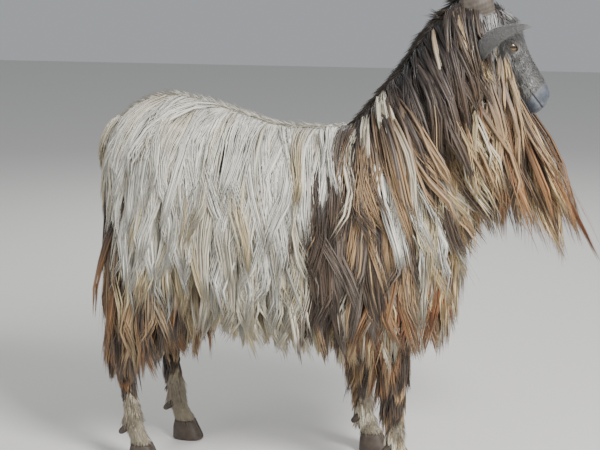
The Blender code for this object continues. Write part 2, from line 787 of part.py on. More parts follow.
def grow_row(flesh, row, node, side, dice, others):
    """The lines, facings, widths and thicknesses of one row of locks on one side."""
    made = []
    own = node if node in LEGS else row["part"]
    mid = LEGS[own][2] if own in LEGS else MIDDLES.get(own, 0.0)
    forward = LEGS[own][1] if own in LEGS and row["view"] == "side" else 0.0
    for k in range(row["count"]):
        t = k / max(1, row["count"] - 1)
        a, b = (p + (q - p) * t for p, q in zip(row["start"], row["stop"]))
        a += forward + dice.uniform(-1, 1) * ROOT_JITTER
        start, heading = VIEWS[row["view"]](a, b, side, mid)
        comb = Vector(row["comb"]).lerp(Vector(row.get("comb_stop", row["comb"])), t)
        comb.y *= side
        comb += Vector((dice.uniform(-1, 1), dice.uniform(-1, 1), 0)) * COMB_JITTER
        comb.normalize()
        drift = Vector(row.get("drift", (0, 0, -1)))
        drift = drift.lerp(Vector(row.get("drift_stop", drift)), t).normalized()
        drift.y *= side
        length = row["length"] + (row.get("length_stop", row["length"]) - row["length"]) * t
        length *= dice.uniform(0.90, 1.08)
        width = row["width"] * dice.uniform(0.85, 1.12)
        hit, normal, _, _ = flesh.trees[own].ray_cast(start, heading)
        if hit is None:
            continue

        def make_line(more_lift, share):
            lift = row["lift"] + more_lift
            return fall(flesh, own, hit, normal, comb, drift, length * share, lift, LOCK_STEPS)

        lock = clear_lock(make_line, width, others)
        if lock:
            made.append(lock)
    return made


def main():
    clear_scene()
    goat = collection("toggenburg_buck")
    cutters = collection("cutters", hidden=True)
    dice = random.Random(SEED)

    shapes = {
        "torso": lambda grow: loft(torso_rings(12, 18, grow)),
        "neck": lambda grow: loft(neck_rings(7, 12, grow)),
        "head": lambda grow: loft(head_rings(15, 18, grow)),
        "tail": lambda grow: loft(tail_rings(7, 8, grow)),
        "beard": lambda grow: loft(beard_rings(7, 10, grow)),
    }
    for name in LEGS:
        shapes[name] = lambda grow, name=name: loft(leg_rings(name, 11, 10, grow))
    flesh = Flesh({name: make(0.0) for name, make in shapes.items()})

    def tools(*names, grow=GAP):
        return [object_of("grown_" + name, shapes[name](grow), cutters) for name in names]

    nodes = {}
    for side, word in ((-1, "right"), (1, "left")):
        half = object_of("torso_" + word, shapes["torso"](0.0), goat)
        combine(half, [object_of("midline", midline(side), cutters)], "DIFFERENCE")
        nodes[half.name] = half
    nodes["head"] = object_of("head", shapes["head"](0.0), goat, "grey_fur")
    face_details(nodes["head"], cutters)
    nodes["neck"] = object_of("neck", shapes["neck"](0.0), goat, "brown_coat")
    combine(nodes["neck"], tools("torso", "head"), "DIFFERENCE")
    nodes["beard"] = object_of("beard", shapes["beard"](0.0), goat, "brown_coat")
    combine(nodes["beard"], tools("head", "neck"), "DIFFERENCE")
    nodes["tail"] = object_of("tail", shapes["tail"](0.0), goat)
    combine(nodes["tail"], tools("torso"), "DIFFERENCE")
    for name in LEGS:
        nodes[name] = object_of(name, shapes[name](0.0), goat, "brown_coat")
        combine(nodes[name], tools("torso"), "DIFFERENCE")
    for name in ("neck", "beard", "tail", *LEGS):
        keep_largest(nodes[name])

    # Horns, ears, eyes, claws
    for side, word in ((-1, "right"), (1, "left")):
        horn = object_of("horn_" + word, loft(horn_rings(side, HORN_RINGS, 9)), goat, "horn")
        combine(horn, tools("head", "neck", "beard"), "DIFFERENCE")
        keep_largest(horn)
        ear = object_of("ear_" + word, ear_mesh(side), goat, "grey_fur")
        combine(ear, tools("head", "neck", "beard"), "DIFFERENCE")
        keep_largest(ear)
        centre = head_point((EYE_AT[0], EYE_AT[1] * side, EYE_AT[2]))
        object_of("eye_" + word, ball(centre, EYE_R, cuts=(12, 8)), goat, "eye")
    for name, (stations, x0, y0) in LEGS.items():
        foot = name.replace("leg_", "")
        x = x0 + stations[-1][0]
        for side, word in ((-1, "outer" if y0 < 0 else "inner"), (1, "inner" if y0 < 0 else "outer")):
            object_of(f"hoof_{foot}_{word}", loft(claw_rings(x, y0, side), tips=False), goat, "hoof")
            spot = (x0 + stations[-3][0] - 0.006, y0 + side * 0.011, stations[-3][1] - 0.008)
            dew = object_of(f"dewclaw_{foot}_{word}", loft(dewclaw_rings(*spot, side)), goat, "hoof")
            combine(dew, tools(name), "DIFFERENCE")
            keep_largest(dew)

    # Locks: kept clear of other nodes' locks, cut clear of their flesh, and joined to their own node
    for name in HARD_PARTS:
        bm = bmesh.new()
        bm.from_mesh(bpy.data.objects[name].data)
        flesh.add(name, bm)
    others = []
    for node, rows, sides in COAT:
        locks = []
        for row in rows:
            for side in sides:
                locks += grow_row(flesh, row, node, side, dice, others)
        own = "torso" if node.startswith("torso") else node
        pieces = [object_of("lock", lock_mesh(*lock), cutters) for lock in locks]
        coat = pieces.pop()
        combine(coat, pieces, "UNION")
        blockers = tools(*[n for n in shapes if n != own], grow=LOCK_ROOM)
        blockers += [grown_copy(bpy.data.objects[n], cutters) for n in HARD_PARTS]
        if own == "torso":
            blockers.append(object_of("midline", midline(sides[0]), cutters))
        combine(coat, blockers, "DIFFERENCE")
        combine(nodes[node], [coat], "UNION")
        keep_largest(nodes[node])
        others += [surface_tree(lock_mesh(*lock)) for lock in locks]

    for obj in goat.objects:
        obj.data.transform(Matrix.Translation(-ORIGIN))
    for obj in list(cutters.objects):
        bpy.data.objects.remove(obj, do_unlink=True)


main()
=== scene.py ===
"""The looks of a long-coated Toggenburg-type buck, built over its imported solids."""

import math

import bmesh
import bpy
import numpy as np
from mathutils import Matrix, Vector
from mathutils.bvhtree import BVHTree
from mathutils.kdtree import KDTree


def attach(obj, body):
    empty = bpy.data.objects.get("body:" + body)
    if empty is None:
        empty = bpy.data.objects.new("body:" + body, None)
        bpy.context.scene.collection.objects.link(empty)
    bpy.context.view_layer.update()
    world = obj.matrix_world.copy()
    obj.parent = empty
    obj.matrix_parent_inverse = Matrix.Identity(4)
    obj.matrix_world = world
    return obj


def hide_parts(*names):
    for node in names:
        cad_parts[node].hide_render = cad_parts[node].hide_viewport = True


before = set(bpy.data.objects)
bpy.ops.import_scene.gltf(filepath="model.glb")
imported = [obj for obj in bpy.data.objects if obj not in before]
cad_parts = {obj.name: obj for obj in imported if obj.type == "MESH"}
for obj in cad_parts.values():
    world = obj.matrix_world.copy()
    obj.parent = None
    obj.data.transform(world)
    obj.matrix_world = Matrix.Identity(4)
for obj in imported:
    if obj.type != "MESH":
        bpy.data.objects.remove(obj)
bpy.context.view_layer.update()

dice = np.random.default_rng(20)

# Sizes of the flesh, in metres, in the solids' own design frame
ORIGIN = Vector((0.0854, -0.0017, 0.0))

# Torso stations from the buttocks to the breast: x, top, bottom, half width
TORSO = (
    (-0.414, 0.705, 0.610, 0.040),
    (-0.402, 0.762, 0.545, 0.078),
    (-0.365, 0.808, 0.500, 0.112),
    (-0.290, 0.832, 0.462, 0.138),
    (-0.180, 0.812, 0.422, 0.156),
    (-0.050, 0.774, 0.388, 0.166),
    (0.070, 0.770, 0.382, 0.158),
    (0.160, 0.780, 0.392, 0.138),
    (0.235, 0.752, 0.420, 0.114),
    (0.298, 0.690, 0.470, 0.082),
    (0.325, 0.640, 0.520, 0.046),
)
TORSO_WAIST = 0.46  # height of the widest line, as a share of the section

# Neck stations from inside the chest to inside the poll: x, y, z, half depth, half width
NECK = (
    (0.165, 0.000, 0.630, 0.120, 0.080),
    (0.211, 0.000, 0.694, 0.126, 0.080),
    (0.260, 0.003, 0.780, 0.112, 0.066),
    (0.300, 0.008, 0.860, 0.094, 0.057),
    (0.330, 0.014, 0.930, 0.082, 0.052),
    (0.354, 0.019, 0.984, 0.066, 0.046),
)

# Head: its own frame runs from the poll to the nose, with z to the forehead
HEAD_AT = Vector((0.367, 0.020, 1.011))
HEAD_YAW = math.radians(14)
HEAD_PITCH = math.radians(48)
HEAD = (
    (-0.045, -0.004, -0.034, 0.022),
    (-0.030, 0.018, -0.056, 0.040),
    (0.005, 0.036, -0.068, 0.050),
    (0.045, 0.048, -0.074, 0.055),
    (0.080, 0.048, -0.073, 0.055),
    (0.112, 0.040, -0.066, 0.049),
    (0.148, 0.030, -0.055, 0.039),
    (0.185, 0.024, -0.050, 0.034),
    (0.217, 0.020, -0.052, 0.033),
    (0.236, 0.012, -0.050, 0.029),
    (0.246, -0.003, -0.040, 0.018),
)
HEAD_AXIS = 0.42  # height of the head's widest line, as a share of the section
HEAD_SQUARE = (0.85, 0.95)  # powers of the section's curve above and below that line: 1 is an ellipse
EYE_AT = (0.098, 0.0350, 0.013)
EYE_R = 0.0145
EYE_GAP = 0.0002
EYE_CUTS = (64, 48)
CORNEA_REACH = 0.55  # radians from the gaze
CORNEA_RISE = 0.05
LID_R = 0.0022
EYE_LOOKS = (0.18, 1.0, 0.06)
EYE_WINDOW = (0.0112, 0.0068, 0.0105)
ORBIT = (0.027, 0.015, 0.021)
MOUTH_CORNER_X = 0.172
MOUTH_Z = -0.021
MOUTH_FRONT_X = 0.254
MOUTH_RISE = 0.006
NOSTRIL_AT = (0.227, 0.0225, -0.002)
NOSTRIL_SIZE = (0.0085, 0.0050, 0.0036)
NOSTRIL_TURN = math.radians(35)
NOSTRIL_CUTS = (32, 20)

# Ears: a cupped leaf from its root to its tip, in the head's frame
EAR_ROOT = (0.066, 0.042, -0.062)
EAR_TIP = (0.077, 0.150, 0.061)
EAR_OPENS = (0.88, -0.30, -0.16)
EAR_HALF_WIDTH = 0.031
EAR_WIDEST = 0.34  # share of the ear's length
EAR_WRAP_ROOT = 125
EAR_WRAP_TIP = 48
EAR_BOW = 0.006
EAR_THICK = 0.0034
EAR_ROOT_WIDTH = 0.50  # share of the widest width
EAR_TIP_NARROWS = 0.94
EAR_TIP_CURVE = 1.7
EAR_UNWRAPS = 0.6
EAR_THICKNESS = (1.3, -0.8)  # at the root, and change to the tip
EAR_THICK_MOST = 0.55  # share of the half width
EAR_RIM_THINS = 0.55

# Horns: an arc that leaves the skull up and back, and spreads
HORN_ROOT = (0.004, 0.029, 0.004)
HORN_LENGTH = 0.46
HORN_START = {-1: math.radians(150), 1: math.radians(142)}
HORN_TURN = math.radians(78)
HORN_SPREAD = 0.34
HORN_DEEP = 0.034
HORN_WIDE = 0.024
HORN_RINGS = 19
HORN_RIDGE = 0.07
HORN_TIP = 0.06  # width at the tip, as a share of the root's
HORN_TAPER = 0.75
HORN_FLARE = (0.35, 1.5)  # phase of the outward sweep at the root, and its change to the tip
HORN_FINE = 0.006
HORN_FINE_RATE = 310
HORN_FINE_WANDER = (2, 37)
HORN_KEEL = 0.07
HORN_DENT = 0.004
HORN_DETAIL = (260, 44)

# Legs: x, z, half length along x, half width, down the leg to the coronet
FORE_LEG = (
    (0.000, 0.560, 0.050, 0.024),
    (0.004, 0.500, 0.056, 0.036),
    (-0.002, 0.430, 0.047, 0.036),
    (0.010, 0.360, 0.033, 0.029),
    (0.016, 0.305, 0.026, 0.024),
    (0.020, 0.268, 0.028, 0.026),
    (0.020, 0.235, 0.022, 0.021),
    (0.021, 0.160, 0.0165, 0.0160),
    (0.022, 0.098, 0.0200, 0.0190),
    (0.031, 0.070, 0.0190, 0.0190),
    (0.040, 0.046, 0.0230, 0.0225),
)
HIND_LEG = (
    (0.078, 0.640, 0.085, 0.045),
    (0.066, 0.550, 0.094, 0.060),
    (0.052, 0.465, 0.078, 0.056),
    (0.022, 0.385, 0.050, 0.039),
    (-0.006, 0.320, 0.034, 0.027),
    (-0.022, 0.272, 0.031, 0.023),
    (-0.016, 0.236, 0.023, 0.020),
    (-0.006, 0.160, 0.0170, 0.0165),
    (0.000, 0.098, 0.0205, 0.0190),
    (0.010, 0.070, 0.0190, 0.0190),
    (0.020, 0.046, 0.0230, 0.0225),
)
LEGS = {
    "leg_front_right": (FORE_LEG, 0.208, -0.092),
    "leg_front_left": (FORE_LEG, 0.110, 0.092),
    "leg_hind_right": (HIND_LEG, -0.368, -0.088),
    "leg_hind_left": (HIND_LEG, -0.318, 0.088),
}
PARTS = ["torso", "neck", "tail", "head", "ear_right", "ear_left", *LEGS]
FLESH_NODES = ("torso_right", "torso_left", "neck", "head", "beard", "tail",
               "ear_right", "ear_left", *LEGS)

# Hooves: two claws a foot
HOOF_SPLIT = 0.0024
CLAW_ROWS = 14
CLAW_ARC = 24  # steps round the outer wall, and along the flat inner one
CLAW_FLAT = 8
CLAW_ROUND = 0.62  # below 1, the outer wall is squarer than an ellipse
CLAW_GRAIN = (0.006, 900)  # depth as a share, and rate, of the growth lines
CLAW_HOLLOW = 0.0004
CLAW_EDGE = 0.0016
CLAW_WORN = (0.0012, -0.0012, -0.0010)  # back, front and width at the worn edge
CLAW = (
    (0.0457, -0.0235, 0.0235, 0.0215),
    (0.0300, -0.0270, 0.0310, 0.0235),
    (0.0060, -0.0280, 0.0420, 0.0250),
    (0.0000, -0.0260, 0.0415, 0.0235),
)
DEWCLAW_POINTS = (-0.75, 0.25, -0.62)
DEWCLAW_DETAIL = (12, 20)
DEWCLAW_AT = (-0.006, 0.011, -0.008)  # from the fetlock's middle, outward
DEWCLAW = ((0.000, 0.0085), (0.012, 0.0080), (0.022, 0.0065), (0.027, 0.0030))

# Tail: a short upturned stub
TAIL = (
    (-0.372, 0.762, 0.022),
    (-0.408, 0.764, 0.019),
    (-0.430, 0.746, 0.015),
    (-0.442, 0.720, 0.010),
    (-0.446, 0.698, 0.005),
)

# Detail of the skin
SKIN_INSET = 0.001
BODY_VOXEL = 0.0058
BODY_SMOOTHING = 12
SMOOTHING_SHARE = 0.5

# Sections and sides of the flesh: for the skin, and for the trees that tell its parts apart
SKIN_DETAIL = {"torso": (40, 48), "neck": (24, 36), "tail": (18, 16), "leg": (60, 24)}
TREE_DETAIL = {"torso": (24, 28), "neck": (16, 20), "head": (40, 36), "tail": (10, 10), "leg": (30, 14)}
HEAD_SKIN_RINGS = 210
HEAD_SKIN_SIDES = 190
EAR_SKIN_DETAIL = (40, 27)
EAR_TREE_DETAIL = (12, 9)

# Forms laid on the head in its own frame: place, reach, height. Each is mirrored.
HEAD_FORMS = (
    ((0.088, 0.044, 0.036), (0.024, 0.014, 0.010), 0.0045),  # brow ridge
    ((0.114, 0.046, -0.006), (0.020, 0.012, 0.009), -0.0030),  # hollow under the eye
    ((0.124, 0.039, 0.009), (0.013, 0.010, 0.010), -0.0032),  # tear pit
    ((0.124, 0.043, -0.020), (0.036, 0.012, 0.007), 0.0028),  # cheek bone
    ((0.072, 0.054, -0.040), (0.032, 0.016, 0.026), 0.0030),  # jaw muscle
    ((0.158, 0.034, 0.004), (0.028, 0.012, 0.013), -0.0030),  # hollow beside the nose bone
    ((0.218, 0.025, 0.000), (0.014, 0.010, 0.011), 0.0032),  # nostril wing
    ((0.208, 0.027, -0.021), (0.022, 0.012, 0.009), 0.0026),  # upper lip
    ((0.196, 0.023, -0.040), (0.022, 0.014, 0.008), 0.0018),  # lower lip
    ((0.205, 0.000, -0.052), (0.018, 0.018, 0.009), 0.0025),  # chin
    ((0.050, 0.000, 0.052), (0.034, 0.034, 0.018), 0.0040),  # forehead
    ((0.150, 0.000, 0.032), (0.050, 0.010, 0.012), 0.0020),  # nose bone
    ((0.236, 0.000, -0.012), (0.020, 0.0025, 0.016), -0.0022),  # groove of the upper lip
)
FORMS_FADED = 9  # squared distance from a form, in its own reaches, from which it no longer counts
FORMS_AXIS = 0.012  # forms move out from a line this far under the head's own axis
MOUTH_LINE_WIDTH = 0.0017
MOUTH_LINE_DEEP = 0.0042
MOUTH_LINE_FADE = 0.004
MUZZLE_FROM = 0.196  # the bare skin of the nose and lips, along the head
MUZZLE_FADE = 0.020

# Colours of the coat, sRGB
COATS = {
    "ivory": "#e4e1d5",
    "cream": "#d2c9b3",
    # ash: partly grey hair, partly painted shade, the blue-grey that the white coat takes in its shade, set
    # among the white and cream locks
    "ash": "#a3a298",
    "straw": "#c9b78e",
    "fawn": "#a08b6e",
    "gold": "#d9bd8c",
    "tan": "#b3926a",
    "ginger": "#9c7148",
    "rust": "#8f572f",
    "umber": "#574534",
    "taupe": "#7a6b5e",
    "soot": "#3a302b",
    "black": "#241d1b",
    # mist and slate: the grey hair of the face and ears, darkened partly as painted shade for the shade on
    # the face under the eye
    "mist": "#a09f9c",
    "slate": "#575552",
}

# Mixes of locks: share, colour at the root, colour at the tip
MIXES = {
    "back": ((0.48, "ivory", "ivory"), (0.26, "cream", "ivory"), (0.14, "cream", "straw"),
             (0.12, "ash", "cream")),
    "barrel": ((0.34, "cream", "cream"), (0.26, "ash", "cream"), (0.20, "cream", "straw"),
               (0.20, "ash", "ash")),
    "hem": ((0.34, "ash", "straw"), (0.26, "taupe", "fawn"), (0.22, "cream", "straw"),
            (0.18, "ash", "ash")),
    "belly": ((0.40, "ash", "ash"), (0.40, "taupe", "ash"), (0.20, "ash", "straw")),
    # Behind the shoulder: dark hair, made darker still as painted shade for the shade that falls there
    "dark_band_and_shade": ((0.50, "soot", "umber"), (0.26, "soot", "taupe"), (0.14, "black", "umber"),
             (0.10, "umber", "taupe")),
    "shoulder": ((0.30, "soot", "tan"), (0.25, "soot", "taupe"), (0.20, "umber", "tan"),
                 (0.15, "soot", "umber"), (0.10, "cream", "cream")),
    "streak": ((0.80, "ivory", "ivory"), (0.20, "cream", "straw")),
    "chest": ((0.38, "tan", "gold"), (0.22, "umber", "ginger"), (0.14, "soot", "rust"),
              (0.26, "straw", "cream")),
    "nape": ((0.50, "black", "umber"), (0.30, "soot", "umber"), (0.20, "black", "taupe")),
    "neck": ((0.26, "umber", "gold"), (0.30, "taupe", "straw"), (0.16, "umber", "tan"),
             (0.18, "fawn", "cream"), (0.10, "soot", "umber")),
    "throat": ((0.40, "umber", "gold"), (0.34, "soot", "tan"), (0.26, "umber", "umber")),
    "cheek": ((0.34, "taupe", "tan"), (0.26, "umber", "gold"), (0.20, "slate", "fawn"),
              (0.20, "umber", "umber")),
    "beard": ((0.34, "soot", "tan"), (0.18, "umber", "gold"), (0.26, "black", "umber"),
              (0.22, "soot", "ginger")),
    "beard_front": ((0.34, "umber", "ginger"), (0.18, "tan", "gold"), (0.28, "soot", "rust"),
                    (0.20, "soot", "tan")),
    # The hind thigh: its dark brown hair, darkened further as painted shade for the deep shade on it
    "thigh_and_shade": ((0.30, "soot", "tan"), (0.38, "black", "umber"), (0.26, "soot", "ginger"),
              (0.06, "taupe", "straw")),
    "leg": ((0.34, "soot", "tan"), (0.34, "black", "umber"), (0.22, "soot", "ginger"),
            (0.10, "taupe", "straw")),
    "sock": ((0.60, "cream", "cream"), (0.25, "fawn", "cream"), (0.15, "fawn", "straw")),
    "face": ((0.60, "slate", "slate"), (0.40, "slate", "mist")),
    "stripe": ((0.70, "mist", "mist"), (0.30, "slate", "mist")),
    "poll": ((0.46, "soot", "slate"), (0.34, "slate", "mist"), (0.20, "black", "soot")),
    "ear": ((0.60, "slate", "mist"), (0.40, "slate", "slate")),
    "temple": ((0.50, "mist", "mist"), (0.50, "slate", "mist")),
    "chin": ((0.60, "mist", "ivory"), (0.40, "slate", "mist")),
    "tail": ((0.60, "cream", "ivory"), (0.40, "cream", "straw")),
}

DOWN = (0, 0, -1)

# The lie of the coat at named places: place, mix of colours, comb, drift, length, lift.
# Sideways numbers are outward. Places on the head are in its own frame, and on a leg from its own top.
BODY_LIE = (
    ((-0.360, 0.020, 0.800), "back", (-0.70, 0.60, -0.1), (-0.04, 0.0, -1), 0.23, 0.018),
    ((-0.380, 0.080, 0.730), "back", (-0.35, 0.15, -0.9), DOWN, 0.24, 0.012),
    ((-0.408, 0.055, 0.690), "thigh_and_shade", (-0.25, 0.10, -1.0), DOWN, 0.27, 0.010),
    ((-0.410, 0.030, 0.640), "thigh_and_shade", (-0.15, 0.10, -1.0), (0.02, 0.0, -1), 0.27, 0.009),
    ((-0.385, 0.085, 0.600), "thigh_and_shade", (-0.15, 0.15, -1.0), DOWN, 0.26, 0.011),
    ((-0.220, 0.020, 0.800), "back", (-0.55, 0.85, 0.0), (-0.02, 0.0, -1), 0.29, 0.026),
    ((-0.050, 0.020, 0.760), "back", (-0.15, 1.00, 0.0), DOWN, 0.30, 0.026),
    ((0.030, 0.020, 0.760), "back", (0.00, 1.00, 0.0), DOWN, 0.27, 0.027),
    ((0.088, 0.020, 0.765), "streak", (0.05, 1.00, 0.0), (0.03, 0.0, -1), 0.15, 0.026),
    ((0.150, 0.020, 0.775), "shoulder", (0.15, 1.00, 0.0), (0.10, 0.0, -1), 0.31, 0.028),
    ((-0.250, 0.130, 0.700), "back", (-0.50, 0.30, -0.8), DOWN, 0.26, 0.022),
    ((-0.080, 0.150, 0.680), "back", (-0.15, 0.30, -1.0), DOWN, 0.28, 0.022),
    ((0.010, 0.150, 0.680), "barrel", (0.00, 0.30, -1.0), DOWN, 0.28, 0.022),
    # The band behind the shoulder carries painted shade as well as its dark hair
    ((0.068, 0.148, 0.690), "dark_band_and_shade", (0.05, 0.30, -1.0), DOWN, 0.28, 0.023),
    ((0.108, 0.140, 0.690), "dark_band_and_shade", (0.05, 0.30, -1.0), (0.02, 0.0, -1), 0.28, 0.023),
    ((0.145, 0.125, 0.720), "shoulder", (0.15, 0.30, -0.9), (0.06, 0.0, -1), 0.29, 0.024),
    ((0.200, 0.105, 0.690), "shoulder", (0.30, 0.30, -0.9), (0.10, 0.0, -1), 0.28, 0.022),
    ((-0.280, 0.135, 0.580), "barrel", (-0.30, 0.20, -1.0), DOWN, 0.21, 0.016),
    ((-0.120, 0.160, 0.570), "barrel", (-0.05, 0.20, -1.0), DOWN, 0.24, 0.015),
    ((0.010, 0.165, 0.560), "barrel", (0.00, 0.20, -1.0), DOWN, 0.23, 0.015),
    ((0.088, 0.156, 0.560), "dark_band_and_shade", (0.05, 0.20, -1.0), DOWN, 0.23, 0.016),
    ((0.140, 0.135, 0.560), "shoulder", (0.10, 0.20, -1.0), (0.03, 0.0, -1), 0.24, 0.016),
    ((0.210, 0.115, 0.560), "chest", (0.20, 0.20, -1.0), (0.05, 0.0, -1), 0.25, 0.017),
    # Painted shade: the hem in front of the hind thigh takes the thigh's darker mix
    ((-0.290, 0.090, 0.475), "thigh_and_shade", (-0.20, 0.15, -1.0), DOWN, 0.15, 0.011),
    ((-0.120, 0.100, 0.430), "hem", (-0.05, 0.15, -1.0), DOWN, 0.13, 0.009),
    ((0.020, 0.100, 0.410), "hem", (0.05, 0.15, -1.0), DOWN, 0.12, 0.009),
    ((0.170, 0.070, 0.430), "chest", (0.15, 0.15, -1.0), DOWN, 0.15, 0.011),
    ((0.000, 0.000, 0.385), "belly", (-0.20, 0.10, -1.0), DOWN, 0.09, 0.006),
    ((-0.200, 0.000, 0.430), "belly", (-0.30, 0.10, -1.0), DOWN, 0.08, 0.006),
    ((0.200, 0.000, 0.410), "belly", (0.10, 0.10, -1.0), DOWN, 0.11, 0.008),
    ((0.310, 0.030, 0.630), "chest", (0.20, 0.20, -1.0), (-0.02, 0.0, -1), 0.27, 0.014),
    ((0.310, 0.030, 0.540), "chest", (0.15, 0.10, -1.0), (-0.02, 0.0, -1), 0.23, 0.012),
    ((0.270, 0.030, 0.460), "chest", (0.20, 0.10, -1.0), DOWN, 0.17, 0.012),
    ((0.205, 0.010, 0.810), "shoulder", (0.25, 0.95, 0.1), (0.35, 0.0, -1), 0.28, 0.028),
    ((0.270, 0.010, 0.900), "nape", (0.25, 0.95, 0.1), (0.42, 0.0, -1), 0.27, 0.026),
    ((0.320, 0.020, 0.975), "nape", (0.20, 0.95, 0.0), (0.38, 0.0, -1), 0.24, 0.022),
    ((0.235, 0.070, 0.745), "streak", (0.35, 0.30, -0.8), (0.35, 0.0, -1), 0.26, 0.022),
    ((0.262, 0.070, 0.790), "neck", (0.40, 0.30, -0.8), (0.40, 0.0, -1), 0.25, 0.022),
    ((0.295, 0.060, 0.850), "neck", (0.45, 0.30, -0.75), (0.42, 0.0, -1), 0.25, 0.020),
    ((0.338, 0.062, 0.930), "neck", (0.40, 0.30, -0.8), (0.34, 0.0, -1), 0.23, 0.018),
    ((0.365, 0.035, 0.820), "throat", (0.20, 0.20, -1.0), (0.20, 0.0, -1), 0.21, 0.013),
    ((0.345, 0.025, 0.720), "throat", (0.15, 0.20, -1.0), (0.12, 0.0, -1), 0.20, 0.012),
    ((-0.400, 0.008, 0.785), "tail", (-0.60, 0.50, 0.0), (-0.18, 0.1, -1), 0.085, 0.006),
    ((-0.445, 0.004, 0.715), "tail", (-0.30, 0.20, -1.0), (-0.10, 0.0, -1), 0.070, 0.004),
)
HEAD_LIE = (
    ((-0.030, 0.015, 0.010), "nape", (-0.2, 0.9, 0.1), (0.25, 0.0, -1), 0.170, 0.012),
    ((-0.020, 0.040, -0.020), "neck", (0.1, 0.4, -0.9), (0.22, 0.0, -1), 0.200, 0.016),
    ((0.000, 0.008, 0.034), "poll", (0.1, 0.8, 0.3), (0.10, 0.0, -1), 0.060, 0.006),
    ((0.030, 0.005, 0.046), "poll", (0.8, 0.3, 0.0), (0.60, 0.0, -1), 0.045, 0.006),
    ((0.030, 0.048, -0.008), "temple", (0.1, 0.5, -0.8), (0.10, 0.0, -1), 0.045, 0.006),
    ((0.030, 0.052, -0.045), "cheek", (0.0, 0.3, -1.0), (0.06, 0.0, -1), 0.350, 0.012),
    ((0.070, 0.055, -0.036), "cheek", (0.0, 0.3, -1.0), (0.10, 0.0, -1), 0.330, 0.011),
    ((0.060, 0.050, -0.062), "beard", (0.0, 0.3, -1.0), (0.12, 0.0, -1), 0.370, 0.012),
    ((0.100, 0.046, -0.055), "beard", (0.1, 0.3, -1.0), (0.20, 0.0, -1), 0.370, 0.011),
    ((0.108, 0.048, -0.034), "cheek", (0.1, 0.3, -1.0), (0.22, 0.0, -1), 0.280, 0.009),
    ((0.130, 0.036, -0.048), "beard", (0.6, 0.3, -1.0), (0.40, 0.0, -1), 0.390, 0.010),
    ((0.152, 0.030, -0.048), "beard_front", (1.2, 0.2, -0.9), (0.48, 0.0, -1), 0.410, 0.014),
    ((0.166, 0.010, -0.056), "beard_front", (1.5, 0.1, -0.8), (0.53, 0.0, -1), 0.420, 0.014),
    ((0.120, 0.000, -0.066), "beard", (0.8, 0.1, -1.0), (0.44, 0.0, -1), 0.400, 0.008),
    ((0.200, 0.010, -0.050), "chin", (-0.1, 0.2, -1.0), DOWN, 0.026, 0.004),
    ((0.188, 0.024, -0.044), "chin", (-0.1, 0.2, -1.0), DOWN, 0.024, 0.003),
    ((0.168, 0.030, -0.034), "chin", (0.2, 0.2, -1.0), (0.10, 0.0, -1), 0.018, 0.002),
    ((0.186, 0.002, -0.056), "chin", (-0.1, 0.2, -1.0), DOWN, 0.028, 0.004),
    ((0.062, 0.052, 0.014), "face", (0.2, 0.3, -1.0), (0.20, 0.0, -1), 0.024, 0.003),
    ((0.060, 0.015, 0.048), "face", (0.9, 0.1, -0.3), (0.90, 0.0, -1), 0.020, 0.002),
    ((0.098, 0.048, 0.013), "face", (0.5, 0.2, -0.9), (0.50, 0.0, -1), 0.010, 0.001),
    ((0.075, 0.054, -0.005), "face", (0.0, 0.2, -1.0), (0.10, 0.0, -1), 0.030, 0.003),
    ((0.120, 0.046, -0.010), "face", (0.3, 0.2, -1.0), (0.30, 0.0, -1), 0.022, 0.002),
    ((0.150, 0.036, -0.020), "face", (0.4, 0.2, -1.0), (0.40, 0.0, -1), 0.018, 0.002),
    ((0.124, 0.043, 0.014), "stripe", (0.8, 0.2, -0.9), (0.80, 0.0, -1), 0.012, 0.001),
    ((0.155, 0.035, 0.012), "stripe", (0.8, 0.2, -0.9), (0.80, 0.0, -1), 0.011, 0.001),
    ((0.186, 0.030, 0.000), "stripe", (0.8, 0.2, -0.9), (0.80, 0.0, -1), 0.009, 0.001),
    ((0.160, 0.010, 0.028), "face", (0.9, 0.1, -0.9), (0.90, 0.0, -1), 0.011, 0.001),
    ((0.200, 0.020, 0.016), "face", (0.9, 0.2, -0.9), (0.90, 0.0, -1), 0.008, 0.001),
    ((0.222, 0.026, -0.015), "face", (0.8, 0.2, -0.9), (0.90, 0.0, -1), 0.005, 0.001),
    ((0.215, 0.020, -0.038), "face", (0.4, 0.2, -0.9), (0.40, 0.0, -1), 0.010, 0.001),
)
FORE_LIE = (
    ((0.000, 0.040, 0.520), "chest", (0.1, 0.2, -1.0), DOWN, 0.200, 0.014),
    ((-0.050, 0.010, 0.480), "chest", (-0.2, 0.2, -1.0), DOWN, 0.180, 0.013),
    ((0.010, 0.030, 0.370), "leg", (0.0, 0.2, -1.0), DOWN, 0.140, 0.010),
    ((-0.020, 0.000, 0.340), "leg", (-0.4, 0.2, -1.0), (-0.1, 0.0, -1), 0.150, 0.012),
    ((0.030, 0.020, 0.280), "leg", (0.1, 0.2, -1.0), DOWN, 0.070, 0.004),
    ((-0.005, 0.000, 0.270), "leg", (-0.4, 0.2, -1.0), (-0.1, 0.0, -1), 0.120, 0.010),
    ((0.030, 0.015, 0.160), "sock", (0.0, 0.1, -1.0), DOWN, 0.028, 0.002),
    ((0.005, 0.000, 0.180), "leg", (-0.4, 0.1, -1.0), (-0.1, 0.0, -1), 0.080, 0.007),
    ((0.040, 0.020, 0.070), "sock", (0.1, 0.1, -1.0), DOWN, 0.018, 0.001),
    ((0.015, 0.000, 0.090), "sock", (-0.3, 0.1, -1.0), DOWN, 0.040, 0.004),
)
